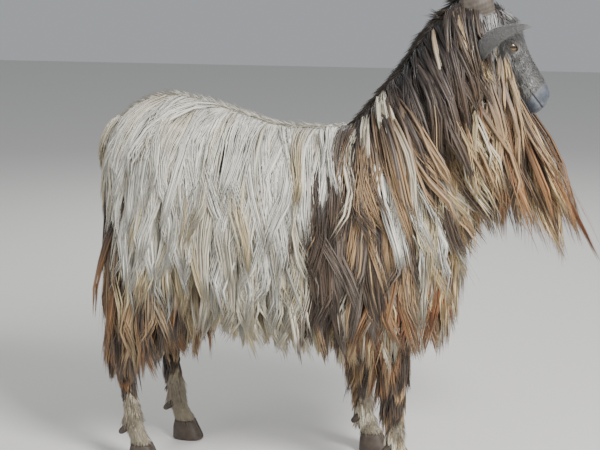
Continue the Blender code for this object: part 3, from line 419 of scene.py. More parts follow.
HIND_LIE = (
    ((0.070, 0.060, 0.560), "hem", (-0.3, 0.2, -1.0), DOWN, 0.190, 0.015),
    ((-0.020, 0.030, 0.560), "thigh_and_shade", (-0.5, 0.1, -1.0), DOWN, 0.260, 0.012),
    ((0.140, 0.030, 0.560), "hem", (-0.1, 0.1, -1.0), DOWN, 0.170, 0.012),
    ((0.050, 0.055, 0.470), "thigh_and_shade", (-0.2, 0.2, -1.0), DOWN, 0.220, 0.012),
    ((0.020, 0.040, 0.400), "thigh_and_shade", (-0.2, 0.2, -1.0), DOWN, 0.190, 0.011),
    ((-0.030, 0.000, 0.400), "thigh_and_shade", (-0.4, 0.1, -1.0), (-0.05, 0.0, -1), 0.190, 0.011),
    ((0.000, 0.027, 0.320), "leg", (-0.1, 0.2, -1.0), DOWN, 0.110, 0.007),
    ((-0.020, 0.024, 0.270), "leg", (-0.1, 0.1, -1.0), DOWN, 0.050, 0.003),
    ((-0.050, 0.000, 0.280), "leg", (-0.3, 0.1, -1.0), DOWN, 0.080, 0.005),
    ((-0.006, 0.017, 0.160), "sock", (0.0, 0.1, -1.0), DOWN, 0.028, 0.002),
    ((-0.020, 0.000, 0.170), "leg", (-0.3, 0.1, -1.0), DOWN, 0.050, 0.004),
    ((0.010, 0.020, 0.070), "sock", (0.0, 0.1, -1.0), DOWN, 0.018, 0.001),
)
NEAREST_PLACES = 5
NECK_FROM = (0.20, 0.70)  # x and z from which a place belongs to the neck
HEAD_FROM = (0.36, 0.80)
SIDES_APART = 0.5
PLACE_SHARPNESS = 2.2
PLACE_CORE = 0.004
ROOT_TONE = 0.7  # share of the root's colour in the hide under a mix
ZONE_SHARPNESS = 1.7  # keeps the colours of a zone together

# Coat pieces: strands, strands in a lock, rings of a strand, width of a strand
COAT_PIECES = {
    "coat_back_right": (5100, 22, 7, 0.0034),
    "coat_fore_right": (5100, 22, 7, 0.0034),
    "coat_back_left": (5100, 22, 7, 0.0034),
    "coat_fore_left": (5100, 22, 7, 0.0034),
    "coat_neck_right": (3800, 17, 8, 0.0032),
    "coat_neck_left": (3800, 17, 8, 0.0032),
    "coat_beard": (4700, 16, 8, 0.0030),
    "coat_leg_front_right": (1600, 11, 6, 0.0027),
    "coat_leg_front_left": (1600, 11, 6, 0.0027),
    "coat_leg_hind_right": (2100, 12, 6, 0.0029),
    "coat_leg_hind_left": (2100, 12, 6, 0.0029),
    "coat_tail": (520, 9, 6, 0.0026),
}
LONG_FROM = 0.034  # hair shorter than this is left to the short coat
STRAND_DROOP = 0.36
SIDE_RISE = 0.20  # how far hair stands off at its root on the sides; along the spine it lies flat
BROAD_EACH = 3  # every third tuft is a broad, flat one that lies under the fine ones
BROAD = (2.3, 0.66)  # width and height over the skin, as shares of a middling strand's
FINE = (0.66, 0.98)
STRAND_SINK = 0.003
STRAND_RINGS = 1.35  # above 1, a strand's rings are closer near its root, where it bends
STRAND_PROFILE = ((0, 0.25, 0.8, 1.0), (0.55, 1.0, 0.75, 0.0))  # share of its width along a strand
STRAND_BACK = 0.1  # depth of a strand under and over its line, as shares of half its width
STRAND_RIDGE = 0.42
STRAND_ROLL = 0.28
STRAND_WIDTHS = (0.7, 1.25)
STRAND_REACH = (0.84, 1.03)
STRAND_LAYERS = (0.85, 1.10)
STRAND_STRAY = 0.03
STRAND_LIGHT = 0.055
# Painted shade: each strand's colour is darker near its root, where the coat over it would shade it
PAINTED_ROOT_SHADE = ((0, 0.25, 1), (0.62, 1.0, 1.0))  # brightness along a strand
TIP_COLOUR_FROM = 0.10
TIP_COLOUR_OVER = 0.75
ODD_COLOURS = 0.10  # share of strands with colours of their own in a lock
DROOP_RATE = 7
DROOP_TIP = 0.4
FACING_TURN = 0.8
SPARE_ROOTS = 4  # places tried for each strand
EYE_CLEAR = 1.5  # no long hair roots nearer than this many eye radii
LOCK_STRAY = 0.15
LOCK_STRAY_FLAT = 0.8  # share of a lock's stray off the skin that is taken away
LOCK_STRAY_FULL = 0.2  # length of hair that strays in full
LOCK_LAYERS = (0.45, 1.0)
LOCK_REACH = (0.86, 1.12)
LOCK_WAVES = (0.55, 1.3)
LOCK_SWING = (0.2, 1.1)
FULL_TURN = 6.3
CLUMPING = 0.80
CLUMPING_SHARES = (0.6, 1.1)
TIP_SPREAD = 0.003
SKIN_NEAR = 0.0015  # a strand nearer to the skin than this is lifted off it
SKIN_CLEAR = 0.0025
WAVE = 0.040
WAVE_FULL = 0.30  # length of hair that waves in full
CREST_WIDTH = 0.014  # shorter hair covers the parting along the back and the crest
CREST_LENGTH = 0.032
CREST_FACING = 0.2
CREST_COMB = Vector((-1.0, 0.0, -0.6))
CREST_LEAN = 0.4
EAR_HAIR = 0.007
EAR_HAIR_FULL = 0.03  # distance from the ear's tip
LID_BARE = 0.0045
LID_SHADE = 0.65
SHORT_RISE = 0.22
TUFT_LEAST = 0.003
TUFT_STRAY = 0.16
TUFT_LENGTHS = (0.65, 1.25)

SHORT_SEED = 4
COAT_SPLIT_X = -0.05  # the long coat of each side of the trunk is in two pieces that meet here

# Short coats: tufts a square metre, width as a share of length, first and last part that they cover
SHORT_COATS = {
    "coat_short_head": (260000.0, 0.055, "head", "ear_left"),
    "coat_short_legs": (150000.0, 0.050, "leg_front_right", "leg_hind_left"),
    "coat_crest": (90000.0, 0.050, "torso", "neck"),
}
# Painted shade: the hide under the long coat of the neck and head is darkened, as if in the shadow of the
# hair over it
PAINTED_UNDER_SHADE = 0.45  # hide under the brown hair, as a share of its colour
ROOT_RISE = 0.10  # share of its lift that a strand has as it leaves the skin
FLOOR_CLEAR = 0.012
PATCH = 0.003

# Unwrap of the skin for the bake: where a part starts, its length, and the height of its middle
UNWRAP = {
    "torso": (-0.44, 0.80, 0.600),
    "tail": (-0.46, 0.10, 0.735),
    "head": (-0.06, 0.34, -0.010),
}
UNWRAP_LEG = 0.66
UNWRAP_EDGE = 0.02

# Studio: each light's place, power and size
FLOOR_REACH = 9
SKY_STRENGTH = 0.46
LIT_PLACE = Vector((0, 0, 0.6))
LIGHTS = {
    "key": ((2.4, -2.2, 3.0), 285, 1.3),
    "fill": ((-2.6, -2.8, 1.8), 34, 2.6),
    "rim": ((-0.6, 2.6, 2.6), 50, 2.2),
}

# Camera of the photograph
CAMERA_TARGET = Vector((0.0, 0.0, 0.548))
CAMERA_DISTANCE = 3.1
CAMERA_AZIMUTH = math.radians(12)
CAMERA_ELEVATION = math.radians(12)
CAMERA_LENS = 84.5
CAMERA_SENSOR = 36
CAMERA_CLIP = 0.05


def linear(text):
    """A colour in sRGB hex as linear red, green, blue."""
    parts = [int(text[i : i + 2], 16) / 255 for i in (1, 3, 5)]
    return tuple(p / 12.92 if p <= 0.04045 else ((p + 0.055) / 1.055) ** 2.4 for p in parts)


def node(tree, kind, inputs=None, **settings):
    """Adds a node with its settings, values and links."""
    made = tree.nodes.new(kind)
    for name, value in settings.items():
        setattr(made, name, value)
    for key, value in (inputs or {}).items():
        socket = made.inputs[key]
        if isinstance(value, bpy.types.NodeSocket):
            tree.links.new(value, socket)
        else:
            socket.default_value = value
    return made


def face_outward(bm):
    bmesh.ops.recalc_face_normals(bm, faces=bm.faces)
    if bm.calc_volume(signed=True) < 0:
        bmesh.ops.reverse_faces(bm, faces=bm.faces)


def object_of(name, bm):
    """A smooth object from a bmesh, in the design frame."""
    face_outward(bm)
    mesh = bpy.data.meshes.new(name)
    bm.to_mesh(mesh)
    bm.free()
    mesh.shade_smooth()
    obj = bpy.data.objects.new(name, mesh)
    bpy.context.scene.collection.objects.link(obj)
    return obj


def curve_through(rows, count):
    """count rows on a Catmull-Rom curve through the rows, spaced by the rows' own order."""
    rows = np.array(rows, float)
    ends = np.vstack([2 * rows[0] - rows[1], rows, 2 * rows[-1] - rows[-2]])
    out = []
    for place in np.linspace(0, len(rows) - 1, count):
        i = min(int(place), len(rows) - 2)
        t = place - i
        a, b, c, d = ends[i : i + 4]
        out.append(
            0.5 * (2 * b + (c - a) * t + (2 * a - 5 * b + 4 * c - d) * t**2
                   + (3 * b - a - 3 * c + d) * t**3)
        )
    return np.array(out)


def body_section(x, top, bottom, half, waist, sides, roof=1.12, keel=0.85):
    """A trunk's or head's cross section at x: narrower to the ridge than an ellipse, fuller below."""
    middle = bottom + waist * (top - bottom)
    ring = []
    for k in range(sides):
        a = 2 * math.pi * k / sides
        c, s = math.cos(a), math.sin(a)
        power = roof if s > 0 else keel
        y = half * math.copysign(abs(c) ** power, c)
        z = middle + (top - middle if s > 0 else middle - bottom) * s
        ring.append(Vector((x, y, z)))
    return ring


def torso_rings(count, sides, grow=0.0):
    rows = curve_through(TORSO, count)
    rows[0][0] -= grow
    rows[-1][0] += grow
    return [
        body_section(x, top + grow, bottom - grow, half + grow, TORSO_WAIST, sides)
        for x, top, bottom, half in rows
    ]


def oval(centre, along, across, deep, wide, sides):
    """An ellipse round centre, deep along the direction along and wide across it."""
    return [
        centre + along * (deep * math.sin(a)) + across * (wide * math.cos(a))
        for a in (2 * math.pi * k / sides for k in range(sides))
    ]


def neck_rings(count, sides, grow=0.0):
    rows = curve_through(NECK, count)
    rings = []
    for i, (x, y, z, deep, wide) in enumerate(rows):
        before, after = rows[max(i - 1, 0)], rows[min(i + 1, count - 1)]
        tangent = Vector(after[:3] - before[:3]).normalized()
        across = Vector((0, 1, 0))
        along = across.cross(tangent).normalized()
        centre = Vector((x, y, z))
        rings.append(oval(centre, along, across, deep + grow, wide + grow, sides))
    return rings


def head_matrix():
    """From the head's own frame to the goat's."""
    turn = Matrix.Rotation(HEAD_YAW, 4, "Z") @ Matrix.Rotation(HEAD_PITCH, 4, "Y")
    return Matrix.Translation(HEAD_AT) @ turn


def head_rings(count, sides, grow=0.0):
    rows = curve_through(HEAD, count)
    rows[0][0] -= grow
    rows[-1][0] += grow
    place = head_matrix()
    rings = []
    for x, top, bottom, half in rows:
        ring = body_section(x, top + grow, bottom - grow, half + grow, HEAD_AXIS, sides, *HEAD_SQUARE)
        rings.append([place @ p for p in ring])
    return rings


def leg_rings(name, count, sides, grow=0.0):
    stations, x0, y0 = LEGS[name]
    rows = curve_through(stations, count)
    rings = []
    for x, z, long, wide in rows:
        centre = Vector((x0 + x, y0, z))
        rings.append(oval(centre, Vector((1, 0, 0)), Vector((0, 1, 0)), long + grow, wide + grow, sides))
    return rings


def tail_rings(count, sides, grow=0.0):
    rows = curve_through(TAIL, count)
    rings = []
    for i, (x, z, radius) in enumerate(rows):
        before, after = rows[max(i - 1, 0)], rows[min(i + 1, count - 1)]
        tangent = Vector((after[0] - before[0], 0, after[1] - before[1])).normalized()
        across = Vector((0, 1, 0))
        along = across.cross(tangent).normalized()
        rings.append(oval(Vector((x, 0, z)), along, across, radius + grow, radius + grow, sides))
    return rings


def head_point(place):
    """A point of the head's own frame, in the goat's frame."""
    return head_matrix() @ Vector(place)


def mirrored(place, side):
    """A place or direction on one side, from one given outward."""
    return Vector((place[0], place[1] * side, place[2]))


def ear_rings(side, count, across_count):
    """C-shaped sections of a cupped ear: a tube at the root that opens and flattens to the tip."""
    root = head_point(mirrored(EAR_ROOT, side))
    tip = head_point(mirrored(EAR_TIP, side))
    along = (tip - root).normalized()
    turn = head_matrix().to_3x3()
    mouth = turn @ mirrored(EAR_OPENS, side)
    mouth = (mouth - along * mouth.dot(along)).normalized()
    across = along.cross(mouth).normalized()
    rings = []
    for i in range(count):
        t = i / (count - 1)
        if t < EAR_WIDEST:
            opened = math.sin(0.5 * math.pi * t / EAR_WIDEST)
            width = EAR_HALF_WIDTH * (EAR_ROOT_WIDTH + (1 - EAR_ROOT_WIDTH) * opened)
        else:
            beyond = (t - EAR_WIDEST) / (1 - EAR_WIDEST)
            width = EAR_HALF_WIDTH * (1 - beyond**EAR_TIP_CURVE * EAR_TIP_NARROWS)
        wrap = math.radians(EAR_WRAP_ROOT + (EAR_WRAP_TIP - EAR_WRAP_ROOT) * t**EAR_UNWRAPS)
        radius = width / math.sin(min(wrap, math.pi / 2))
        bow = mouth * (EAR_BOW * math.sin(math.pi * t))
        middle = root.lerp(tip, t) - bow
        thick = min(EAR_THICK * (EAR_THICKNESS[0] + EAR_THICKNESS[1] * t), EAR_THICK_MOST * width)
        outer, inner = [], []
        for k in range(across_count):
            a = wrap * (2 * k / (across_count - 1) - 1)
            spoke = across * math.sin(a) - mouth * math.cos(a)
            edge = 1 - EAR_RIM_THINS * abs(a / wrap) ** 3
            outer.append(middle + spoke * radius)
            inner.append(middle + spoke * (radius - thick * edge))
        rings.append((outer, inner))
    return rings


def look_along(direction, up=Vector((0, 0, 1))):
    """A rotation whose Z runs along the direction and whose X lies level across it."""
    z = direction.normalized()
    x = up.cross(z).normalized()
    return Matrix((x, z.cross(x), z)).transposed()


def loft(rings):
    """A closed bmesh through rings of equal count, each end a fan on its middle."""
    bm = bmesh.new()
    made = [[bm.verts.new(p) for p in ring] for ring in rings]
    sides = len(made[0])
    for low, high in zip(made, made[1:]):
        for k in range(sides):
            n = (k + 1) % sides
            bm.faces.new((low[k], low[n], high[n], high[k]))
    for ring, points in ((made[0], rings[0]), (made[-1], rings[-1])):
        middle = bm.verts.new(np.mean(np.array(points), axis=0))
        for k in range(sides):
            bm.faces.new((ring[k], ring[(k + 1) % sides], middle))
    return bm


def ball(centre, radius, squash=(1, 1, 1), turn=None, cuts=(64, 40)):
    """A sphere, or an ellipsoid turned by a matrix."""
    bm = bmesh.new()
    bmesh.ops.create_uvsphere(bm, u_segments=cuts[0], v_segments=cuts[1], radius=radius)
    spot = Matrix.Translation(centre) @ (turn.to_4x4() if turn else Matrix())
    bm.transform(spot @ Matrix.Diagonal((*squash, 1)))
    return bm


def applied(obj):
    """Replaces the object's mesh by its evaluated mesh, with no modifier left."""
    bpy.context.view_layer.update()
    graph = bpy.context.evaluated_depsgraph_get()
    mesh = bpy.data.meshes.new_from_object(obj.evaluated_get(graph))
    obj.modifiers.clear()
    obj.data = mesh
    return obj


def combine(obj, others, operation):
    """Joins to obj, or cuts from it, closed meshes, which are then removed."""
    for other in others:
        boolean = obj.modifiers.new(operation, "BOOLEAN")
        boolean.operation = operation
        boolean.object = other
        boolean.solver = "MANIFOLD"
        applied(obj)
        bpy.data.objects.remove(other, do_unlink=True)
    return obj


def sculpted(place):
    """A point of the head's surface, in its own frame, moved by the head's forms and the mouth line."""
    x, y, z = place
    out = Vector((0.0, y, z + FORMS_AXIS))
    out = out.normalized() if out.length > 1e-6 else Vector((0, 0, 1))
    move = 0.0
    for (fx, fy, fz), (rx, ry, rz), height in HEAD_FORMS:
        reach = ((x - fx) / rx) ** 2 + ((abs(y) - fy) / ry) ** 2 + ((z - fz) / rz) ** 2
        if reach < FORMS_FADED:
            move += height * math.exp(-0.5 * reach)
    if x > MOUTH_CORNER_X - MOUTH_LINE_FADE:
        share = (MOUTH_FRONT_X - x) / (MOUTH_FRONT_X - MOUTH_CORNER_X)
        line = MOUTH_Z + MOUTH_RISE * max(share, 0) ** 2
        fade = min(1.0, (x - MOUTH_CORNER_X + MOUTH_LINE_FADE) / (2 * MOUTH_LINE_FADE))
        move -= MOUTH_LINE_DEEP * fade * math.exp(-(((z - line) / MOUTH_LINE_WIDTH) ** 2))
    return Vector(place) + out * move


def head_skin():
    """The head's skin: forms, sockets, lids and nostrils."""
    place = head_matrix()
    turn = place.to_3x3()
    back = place.inverted()
    rings = []
    for ring in head_rings(HEAD_SKIN_RINGS, HEAD_SKIN_SIDES, -SKIN_INSET):
        rings.append([place @ sculpted(back @ p) for p in ring])
    head = object_of("head_skin", loft(rings))
    for side in (-1, 1):
        centre = head_point(mirrored(EYE_AT, side))
        gaze = (turn @ mirrored(EYE_LOOKS, side)).normalized()
        facing = look_along(gaze, turn @ Vector((0, 0, 1)))
        lids = [object_of("orbit", ball(centre, 1.0, ORBIT, turn)),
                object_of("lid", ball(centre, EYE_R + LID_R))]
        combine(head, lids, "UNION")
        window = ball(centre + gaze * EYE_R, 1.0, EYE_WINDOW, facing)
        combine(head, [object_of("socket", ball(centre, EYE_R + EYE_GAP)), object_of("window", window)],
                "DIFFERENCE")
        nostril = head_point(mirrored(NOSTRIL_AT, side))
        slit = turn @ Matrix.Rotation(NOSTRIL_TURN, 3, "Y")
        hole = ball(nostril, 1.0, NOSTRIL_SIZE, slit, NOSTRIL_CUTS)
        combine(head, [object_of("nostril", hole)], "DIFFERENCE")
    return head


def ear_skin(side):
    """A finer cupped ear, closed round its rim."""
    bm = bmesh.new()
    made = []
    for outer, inner in ear_rings(side, *EAR_SKIN_DETAIL):
        made.append([bm.verts.new(p) for p in outer + inner[::-1]])
    sides = len(made[0])
    for low, high in zip(made, made[1:]):
        for k in range(sides):
            n = (k + 1) % sides
            bm.faces.new((low[k], low[n], high[n], high[k]))
    for ring in (made[0], made[-1]):
        for k in range(EAR_SKIN_DETAIL[1] - 1):
            bm.faces.new((ring[k], ring[k + 1], ring[sides - 2 - k], ring[sides - 1 - k]))
    return object_of("ear_skin", bm)


def body_skin():
    """Trunk, neck, legs and tail as one smooth skin."""
    joined = bmesh.new()
    shapes = {"torso": torso_rings, "neck": neck_rings, "tail": tail_rings}
    parts = [make(*SKIN_DETAIL[part], -SKIN_INSET) for part, make in shapes.items()]
    parts += [leg_rings(name, *SKIN_DETAIL["leg"], -SKIN_INSET) for name in LEGS]
    for rings in parts:
        piece = loft(rings)
        face_outward(piece)
        mesh = bpy.data.meshes.new("part")
        piece.to_mesh(mesh)
        piece.free()
        joined.from_mesh(mesh)
        bpy.data.meshes.remove(mesh)
    mesh = bpy.data.meshes.new("body_skin")
    joined.to_mesh(mesh)
    joined.free()
    body = bpy.data.objects.new("body_skin", mesh)
    bpy.context.scene.collection.objects.link(body)
    remesh = body.modifiers.new("voxels", "REMESH")
    remesh.mode = "VOXEL"
    remesh.voxel_size = BODY_VOXEL
    smooth = body.modifiers.new("smooth", "SMOOTH")
    smooth.factor = SMOOTHING_SHARE
    smooth.iterations = BODY_SMOOTHING
    return applied(body)


def whole_skin():
    """One skin for every part of flesh."""
    skin = body_skin()
    combine(skin, [head_skin(), ear_skin(-1), ear_skin(1)], "UNION")
    bm = bmesh.new()
    bm.from_mesh(skin.data)
    bmesh.ops.triangulate(bm, faces=bm.faces)
    left = set(bm.faces)
    shells = []
    while left:
        start = left.pop()
        shell, front = {start}, [start]
        while front:
            for edge in front.pop().edges:
                for other in edge.link_faces:
                    if other in left:
                        left.remove(other)
                        shell.add(other)
                        front.append(other)
        shells.append(shell)
    shells.sort(key=len)
    spare = {v for shell in shells[:-1] for f in shell for v in f.verts}
    bmesh.ops.delete(bm, geom=list(spare), context="VERTS")
    mesh = bpy.data.meshes.new("skin")
    bm.to_mesh(mesh)
    bm.free()
    mesh.shade_smooth()
    skin.data = mesh
    skin.name = "skin"
    return skin


def from_middle(place):
    """How far a place of the trunk, neck or head is to the left of the middle."""
    if place[0] > HEAD_FROM[0] and place[2] > HEAD_FROM[1]:
        return (HEAD_BACK @ place).y
    if place[0] > NECK_FROM[0] and place[2] > NECK_FROM[1]:
        return place[1] - np.interp(place[0], *NECK_MIDDLE)
    return place[1]


def parted(place):
    """A place pushed away from the other side, so that the coat parts along the middle."""
    return place + Vector((0, math.copysign(SIDES_APART, from_middle(place)), 0))


class Lie:
    """The lie, length and colours of the coat anywhere on the skin, from its named places."""

    def __init__(self):
        places = []
        for side in (-1, 1):
            for row in BODY_LIE:
                spot = mirrored(row[0], side)
                if spot.x > NECK_FROM[0] and spot.z > NECK_FROM[1]:
                    spot.y += np.interp(spot.x, *NECK_MIDDLE)
                places.append(self.placed(row, spot, side))
            for row in HEAD_LIE:
                spot = head_point(mirrored(row[0], side))
                places.append(self.placed(row, spot, side))
        for name, (stations, x0, y0) in LEGS.items():
            rows = FORE_LIE if stations is FORE_LEG else HIND_LIE
            for row in rows:
                for side in (-1, 1):
                    spot = Vector((x0 + row[0][0], y0 + side * row[0][1], row[0][2]))
                    places.append(self.placed(row, spot, side))
        self.places = places
        self.tree = KDTree(len(places))
        for i, place in enumerate(places):
            self.tree.insert(parted(place[0]), i)
        self.tree.balance()

    @staticmethod
    def placed(row, spot, side):
        """A row's rules at a spot, with its comb and drift for that side."""
        _, mix, comb, drift, length, lift = row
        comb = mirrored(comb, side).normalized()
        drift = mirrored(drift, side).normalized()
        return spot, mix, comb, drift, length, lift

    def near(self, point):
        """Weights and places round a point, on its own side."""
        found = self.tree.find_n(parted(point), NEAREST_PLACES)
        weights = [1 / (distance + PLACE_CORE) ** (2 * PLACE_SHARPNESS) for _, _, distance in found]
        total = sum(weights)
        return [(w / total, self.places[i]) for w, (_, i, _) in zip(weights, found)]

    def at(self, point):
        """Comb, drift, length and lift."""
        comb, drift, length, lift = Vector(), Vector(), 0.0, 0.0
        for weight, (_, _, c, d, far, up) in self.near(point):
            comb += c * weight
            drift += d * weight
            length += far * weight
            lift += up * weight
        return comb, drift.normalized(), length, lift

    def mix(self, point, throw):
        """The mix of long hair at a point, picked by chance among the places round it."""
        found = [(weight**ZONE_SHARPNESS, place) for weight, place in self.near(point)
                 if place[4] >= LONG_FROM]
        throw *= sum(weight for weight, _ in found)
        for weight, place in found:
            throw -= weight
            if throw <= 0:
                break
        return place[1]


NECK_MIDDLE = ([row[0] for row in NECK], [row[1] for row in NECK])
LINEAR = {name: np.array(linear(text)) for name, text in COATS.items()}


def pick(mix, throw):
    """A lock's colours at root and tip."""
    for share, root, tip in MIXES[mix]:
        throw -= share
        if throw <= 0:
            break
    return LINEAR[root], LINEAR[tip]


def mean_root(mix):
    """The colour of the hide under a mix."""
    return sum(share * (ROOT_TONE * LINEAR[root] + (1 - ROOT_TONE) * LINEAR[tip])
               for share, root, tip in MIXES[mix])


def dense_trees():
    """A search tree for each part of the flesh, to tell which part a place of the skin is on."""
    makers = {"torso": torso_rings, "neck": neck_rings, "head": head_rings, "tail": tail_rings}
    shapes = {part: make(*TREE_DETAIL[part]) for part, make in makers.items()}
    for name in LEGS:
        shapes[name] = leg_rings(name, *TREE_DETAIL["leg"])
    trees = {}
    for name, rings in shapes.items():
        bm = loft(rings)
        trees[name] = BVHTree.FromBMesh(bm)
        bm.free()
    rows, columns = EAR_TREE_DETAIL
    for side, word in ((-1, "ear_right"), (1, "ear_left")):
        bm = bmesh.new()
        for outer, inner in ear_rings(side, rows, columns):
            for p in outer + inner:
                bm.verts.new(p)
        bm.verts.ensure_lookup_table()
        for i in range(rows - 1):
            for half in range(2):
                for k in range(columns - 1):
                    a = (2 * i + half) * columns + k
                    b = a + 2 * columns
                    bm.faces.new([bm.verts[j] for j in (a, a + 1, b + 1, b)])
        trees[word] = BVHTree.FromBMesh(bm)
        bm.free()
    return trees


def part_of(trees, point):
    """The part of the flesh that a point is nearest to."""
    return min(trees, key=lambda name: trees[name].find_nearest(point)[3])


HEAD_BACK = head_matrix().inverted()


def unwrap(part, point):
    """Where a place of the skin lies on the unwrap of its part: along the part, and round it."""
    x, y, z = point
    if part == "neck":
        axis = Vector(NECK[-1][:3]) - Vector(NECK[0][:3])
        rest = Vector(point) - Vector(NECK[0][:3])
        along = rest.dot(axis) / axis.length_squared
        around = math.atan2(rest.dot(Vector((-axis.z, 0, axis.x)).normalized()), abs(y))
    elif part in LEGS:
        stations, x0, y0 = LEGS[part]
        middle = np.interp(-z, [-row[1] for row in stations], [row[0] for row in stations])
        along, around = z / UNWRAP_LEG, math.atan2(y - y0, x - x0 - middle) / 2
    else:
        if part not in ("torso", "tail"):
            part = "head"
            x, y, z = HEAD_BACK @ Vector(point)
        start, reach, middle = UNWRAP[part]
        along = (x - start) / reach
        around = math.atan2(z - middle, abs(y)) if part == "torso" else math.atan2(y, z - middle) / 2
    u = min(1 - UNWRAP_EDGE, max(UNWRAP_EDGE, along))
    v = min(1 - UNWRAP_EDGE, max(UNWRAP_EDGE, around / math.pi + 0.5))
    return u, v


def shares(steps):
    """Where a strand's rings are along it, closer near the root, where it bends."""
    return np.linspace(0, 1, steps) ** STRAND_RINGS


def grow(tree, root, normal, comb, drift, length, lift, layer, steps):
    """A strand's line and facings: it leaves along the comb and falls over the skin."""
    places = shares(steps)
    rise = SIDE_RISE * (1 - max(0.0, normal.z) ** 2)
    heading = (comb + normal * rise).normalized()
    point = root - normal * STRAND_SINK
    points, facings = [point], [normal]
    facing = normal.copy()
    for i in range(1, steps):
        t = places[i]
        step = (t - places[i - 1]) * length
        bend = 1 - (1 - STRAND_DROOP) ** (DROOP_RATE * (t - places[i - 1]) + DROOP_TIP * t)
        heading = heading.lerp(drift, bend).normalized()
        point = points[-1] + heading * step
        clear = lift * layer * (ROOT_RISE + (1 - ROOT_RISE) * min(1.0, 2 * t))
        near, out, _, distance = tree.find_nearest(point)
        away = point - near
        inside = away.dot(out) < 0
        if inside or distance < clear:
            push = out if inside or distance < 1e-5 else away / distance
            point = near + push * clear
            facing = (facing + push * FACING_TURN).normalized()
        if point.z < FLOOR_CLEAR:
            point.z = FLOOR_CLEAR
        heading = (point - points[-1]).normalized()
        points.append(point)
        facings.append(facing.copy())
    return points, facings


def scatter(skin, part_ids, wanted, count):
    """Places on the skin's triangles of the wanted parts, spread evenly by area."""
    mesh = skin.data
    corners = np.empty(len(mesh.polygons) * 3, dtype=np.int32)
    mesh.polygons.foreach_get("vertices", corners)
    corners = corners.reshape(-1, 3)
    places = np.empty(len(mesh.vertices) * 3)
    mesh.vertices.foreach_get("co", places)
    places = places.reshape(-1, 3)
    chosen = corners[np.isin(part_ids[corners[:, 0]], wanted)]
    a, b, c = places[chosen[:, 0]], places[chosen[:, 1]], places[chosen[:, 2]]
    cross = np.cross(b - a, c - a)
    area = np.linalg.norm(cross, axis=1)
    picks = dice.choice(len(chosen), size=count, p=area / area.sum())
    u, v = dice.random(count), dice.random(count)
    flip = u + v > 1
    u[flip], v[flip] = 1 - u[flip], 1 - v[flip]
    points = a[picks] + u[:, None] * (b - a)[picks] + v[:, None] * (c - a)[picks]
    normals = cross[picks] / np.maximum(area[picks], 1e-12)[:, None]
    return points, normals


def strand_mesh(name, lines, facings, widths, colours, homes):
    """One mesh of closed, tapering three-sided strands, with their colours and bake patches."""
    lines = np.array(lines)
    facings = np.array(facings)
    widths = np.array(widths)
    count, steps, _ = lines.shape
    tangents = np.gradient(lines, axis=1)
    tangents /= np.maximum(np.linalg.norm(tangents, axis=2, keepdims=True), 1e-9)
    across = np.cross(tangents, facings)
    across /= np.maximum(np.linalg.norm(across, axis=2, keepdims=True), 1e-9)
    out = np.cross(across, tangents)
    roll = dice.normal(0, STRAND_ROLL, count)[:, None, None]
    across, out = across * np.cos(roll) + out * np.sin(roll), out * np.cos(roll) - across * np.sin(roll)
    t = shares(steps)
    half = np.interp(t, *STRAND_PROFILE)
    half = 0.5 * widths[:, None, None] * half[None, :, None]
    ring = steps - 1
    body = np.stack(
        [lines - across * half - out * half * STRAND_BACK,
         lines + across * half - out * half * STRAND_BACK,
         lines + out * half * STRAND_RIDGE], axis=2
    )[:, :ring]
    tip = lines[:, -1]
    points = np.concatenate([body.reshape(count, ring * 3, 3), tip[:, None]], axis=1)
    each = ring * 3 + 1
    faces = []
    for i in range(ring - 1):
        for k in range(3):
            n = (k + 1) % 3
            low, low_next, high, high_next = i * 3 + k, i * 3 + n, i * 3 + 3 + k, i * 3 + 3 + n
            faces += [(low, low_next, high_next), (low, high_next, high)]
    faces.append((0, 2, 1))
    last = (ring - 1) * 3
    for k in range(3):
        faces.append((last + k, last + (k + 1) % 3, each - 1))
    faces = np.array(faces)
    everything = (faces[None] + (np.arange(count) * each)[:, None, None]).reshape(-1)

    mesh = bpy.data.meshes.new(name)
    mesh.vertices.add(count * each)
    mesh.vertices.foreach_set("co", points.reshape(-1))
    mesh.loops.add(len(everything))
    mesh.loops.foreach_set("vertex_index", everything.astype(np.int32))
    mesh.polygons.add(len(everything) // 3)
    mesh.polygons.foreach_set("loop_start", np.arange(0, len(everything), 3, dtype=np.int32))
    mesh.update(calc_edges=True)
    mesh.shade_smooth()

    shade = np.array(colours)
    blend = np.clip((t - TIP_COLOUR_FROM) / TIP_COLOUR_OVER, 0, 1)
    blend = blend * blend * (3 - 2 * blend)
    # Painted shade at the root: the colour dims towards the skin
    root_shade_dimming = np.interp(t, *PAINTED_ROOT_SHADE)
    tone = shade[:, None, 0] * (1 - blend)[None, :, None] + shade[:, None, 1] * blend[None, :, None]
    tone *= root_shade_dimming[None, :, None]
    tone = np.concatenate([np.repeat(tone[:, :ring], 3, axis=1), tone[:, -1:]], axis=1)
    colour = mesh.color_attributes.new("coat_colour", "FLOAT_COLOR", "POINT")
    rgba = np.ones((count * each, 4))
    rgba[:, :3] = tone.reshape(-1, 3)
    colour.data.foreach_set("color", rgba.reshape(-1))

    side = np.concatenate([np.tile([-0.5, 0.5, 0.0], ring), [0.0]])
    along = np.concatenate([np.repeat(t[:ring], 3), [1.0]])
    patches = np.stack([side * PATCH, (along - 0.5) * PATCH], axis=1)
    bake = mesh.uv_layers.new(name="OFBake")
    places = np.array(homes)[:, None] + patches[None]
    bake.data.foreach_set("uv", places.reshape(-1, 2)[everything].reshape(-1))
    reach = np.linalg.norm(np.diff(lines, axis=1), axis=2).sum(axis=1)
    own = np.stack([side[None] * widths[:, None] + dice.random(count)[:, None] * 20,
                    along[None] * reach[:, None]], axis=2)
    hair = mesh.uv_layers.new(name="hair")
    hair.data.foreach_set("uv", own.reshape(-1, 2)[everything].reshape(-1))
    obj = bpy.data.objects.new(name, mesh)
    bpy.context.scene.collection.objects.link(obj)
    return obj


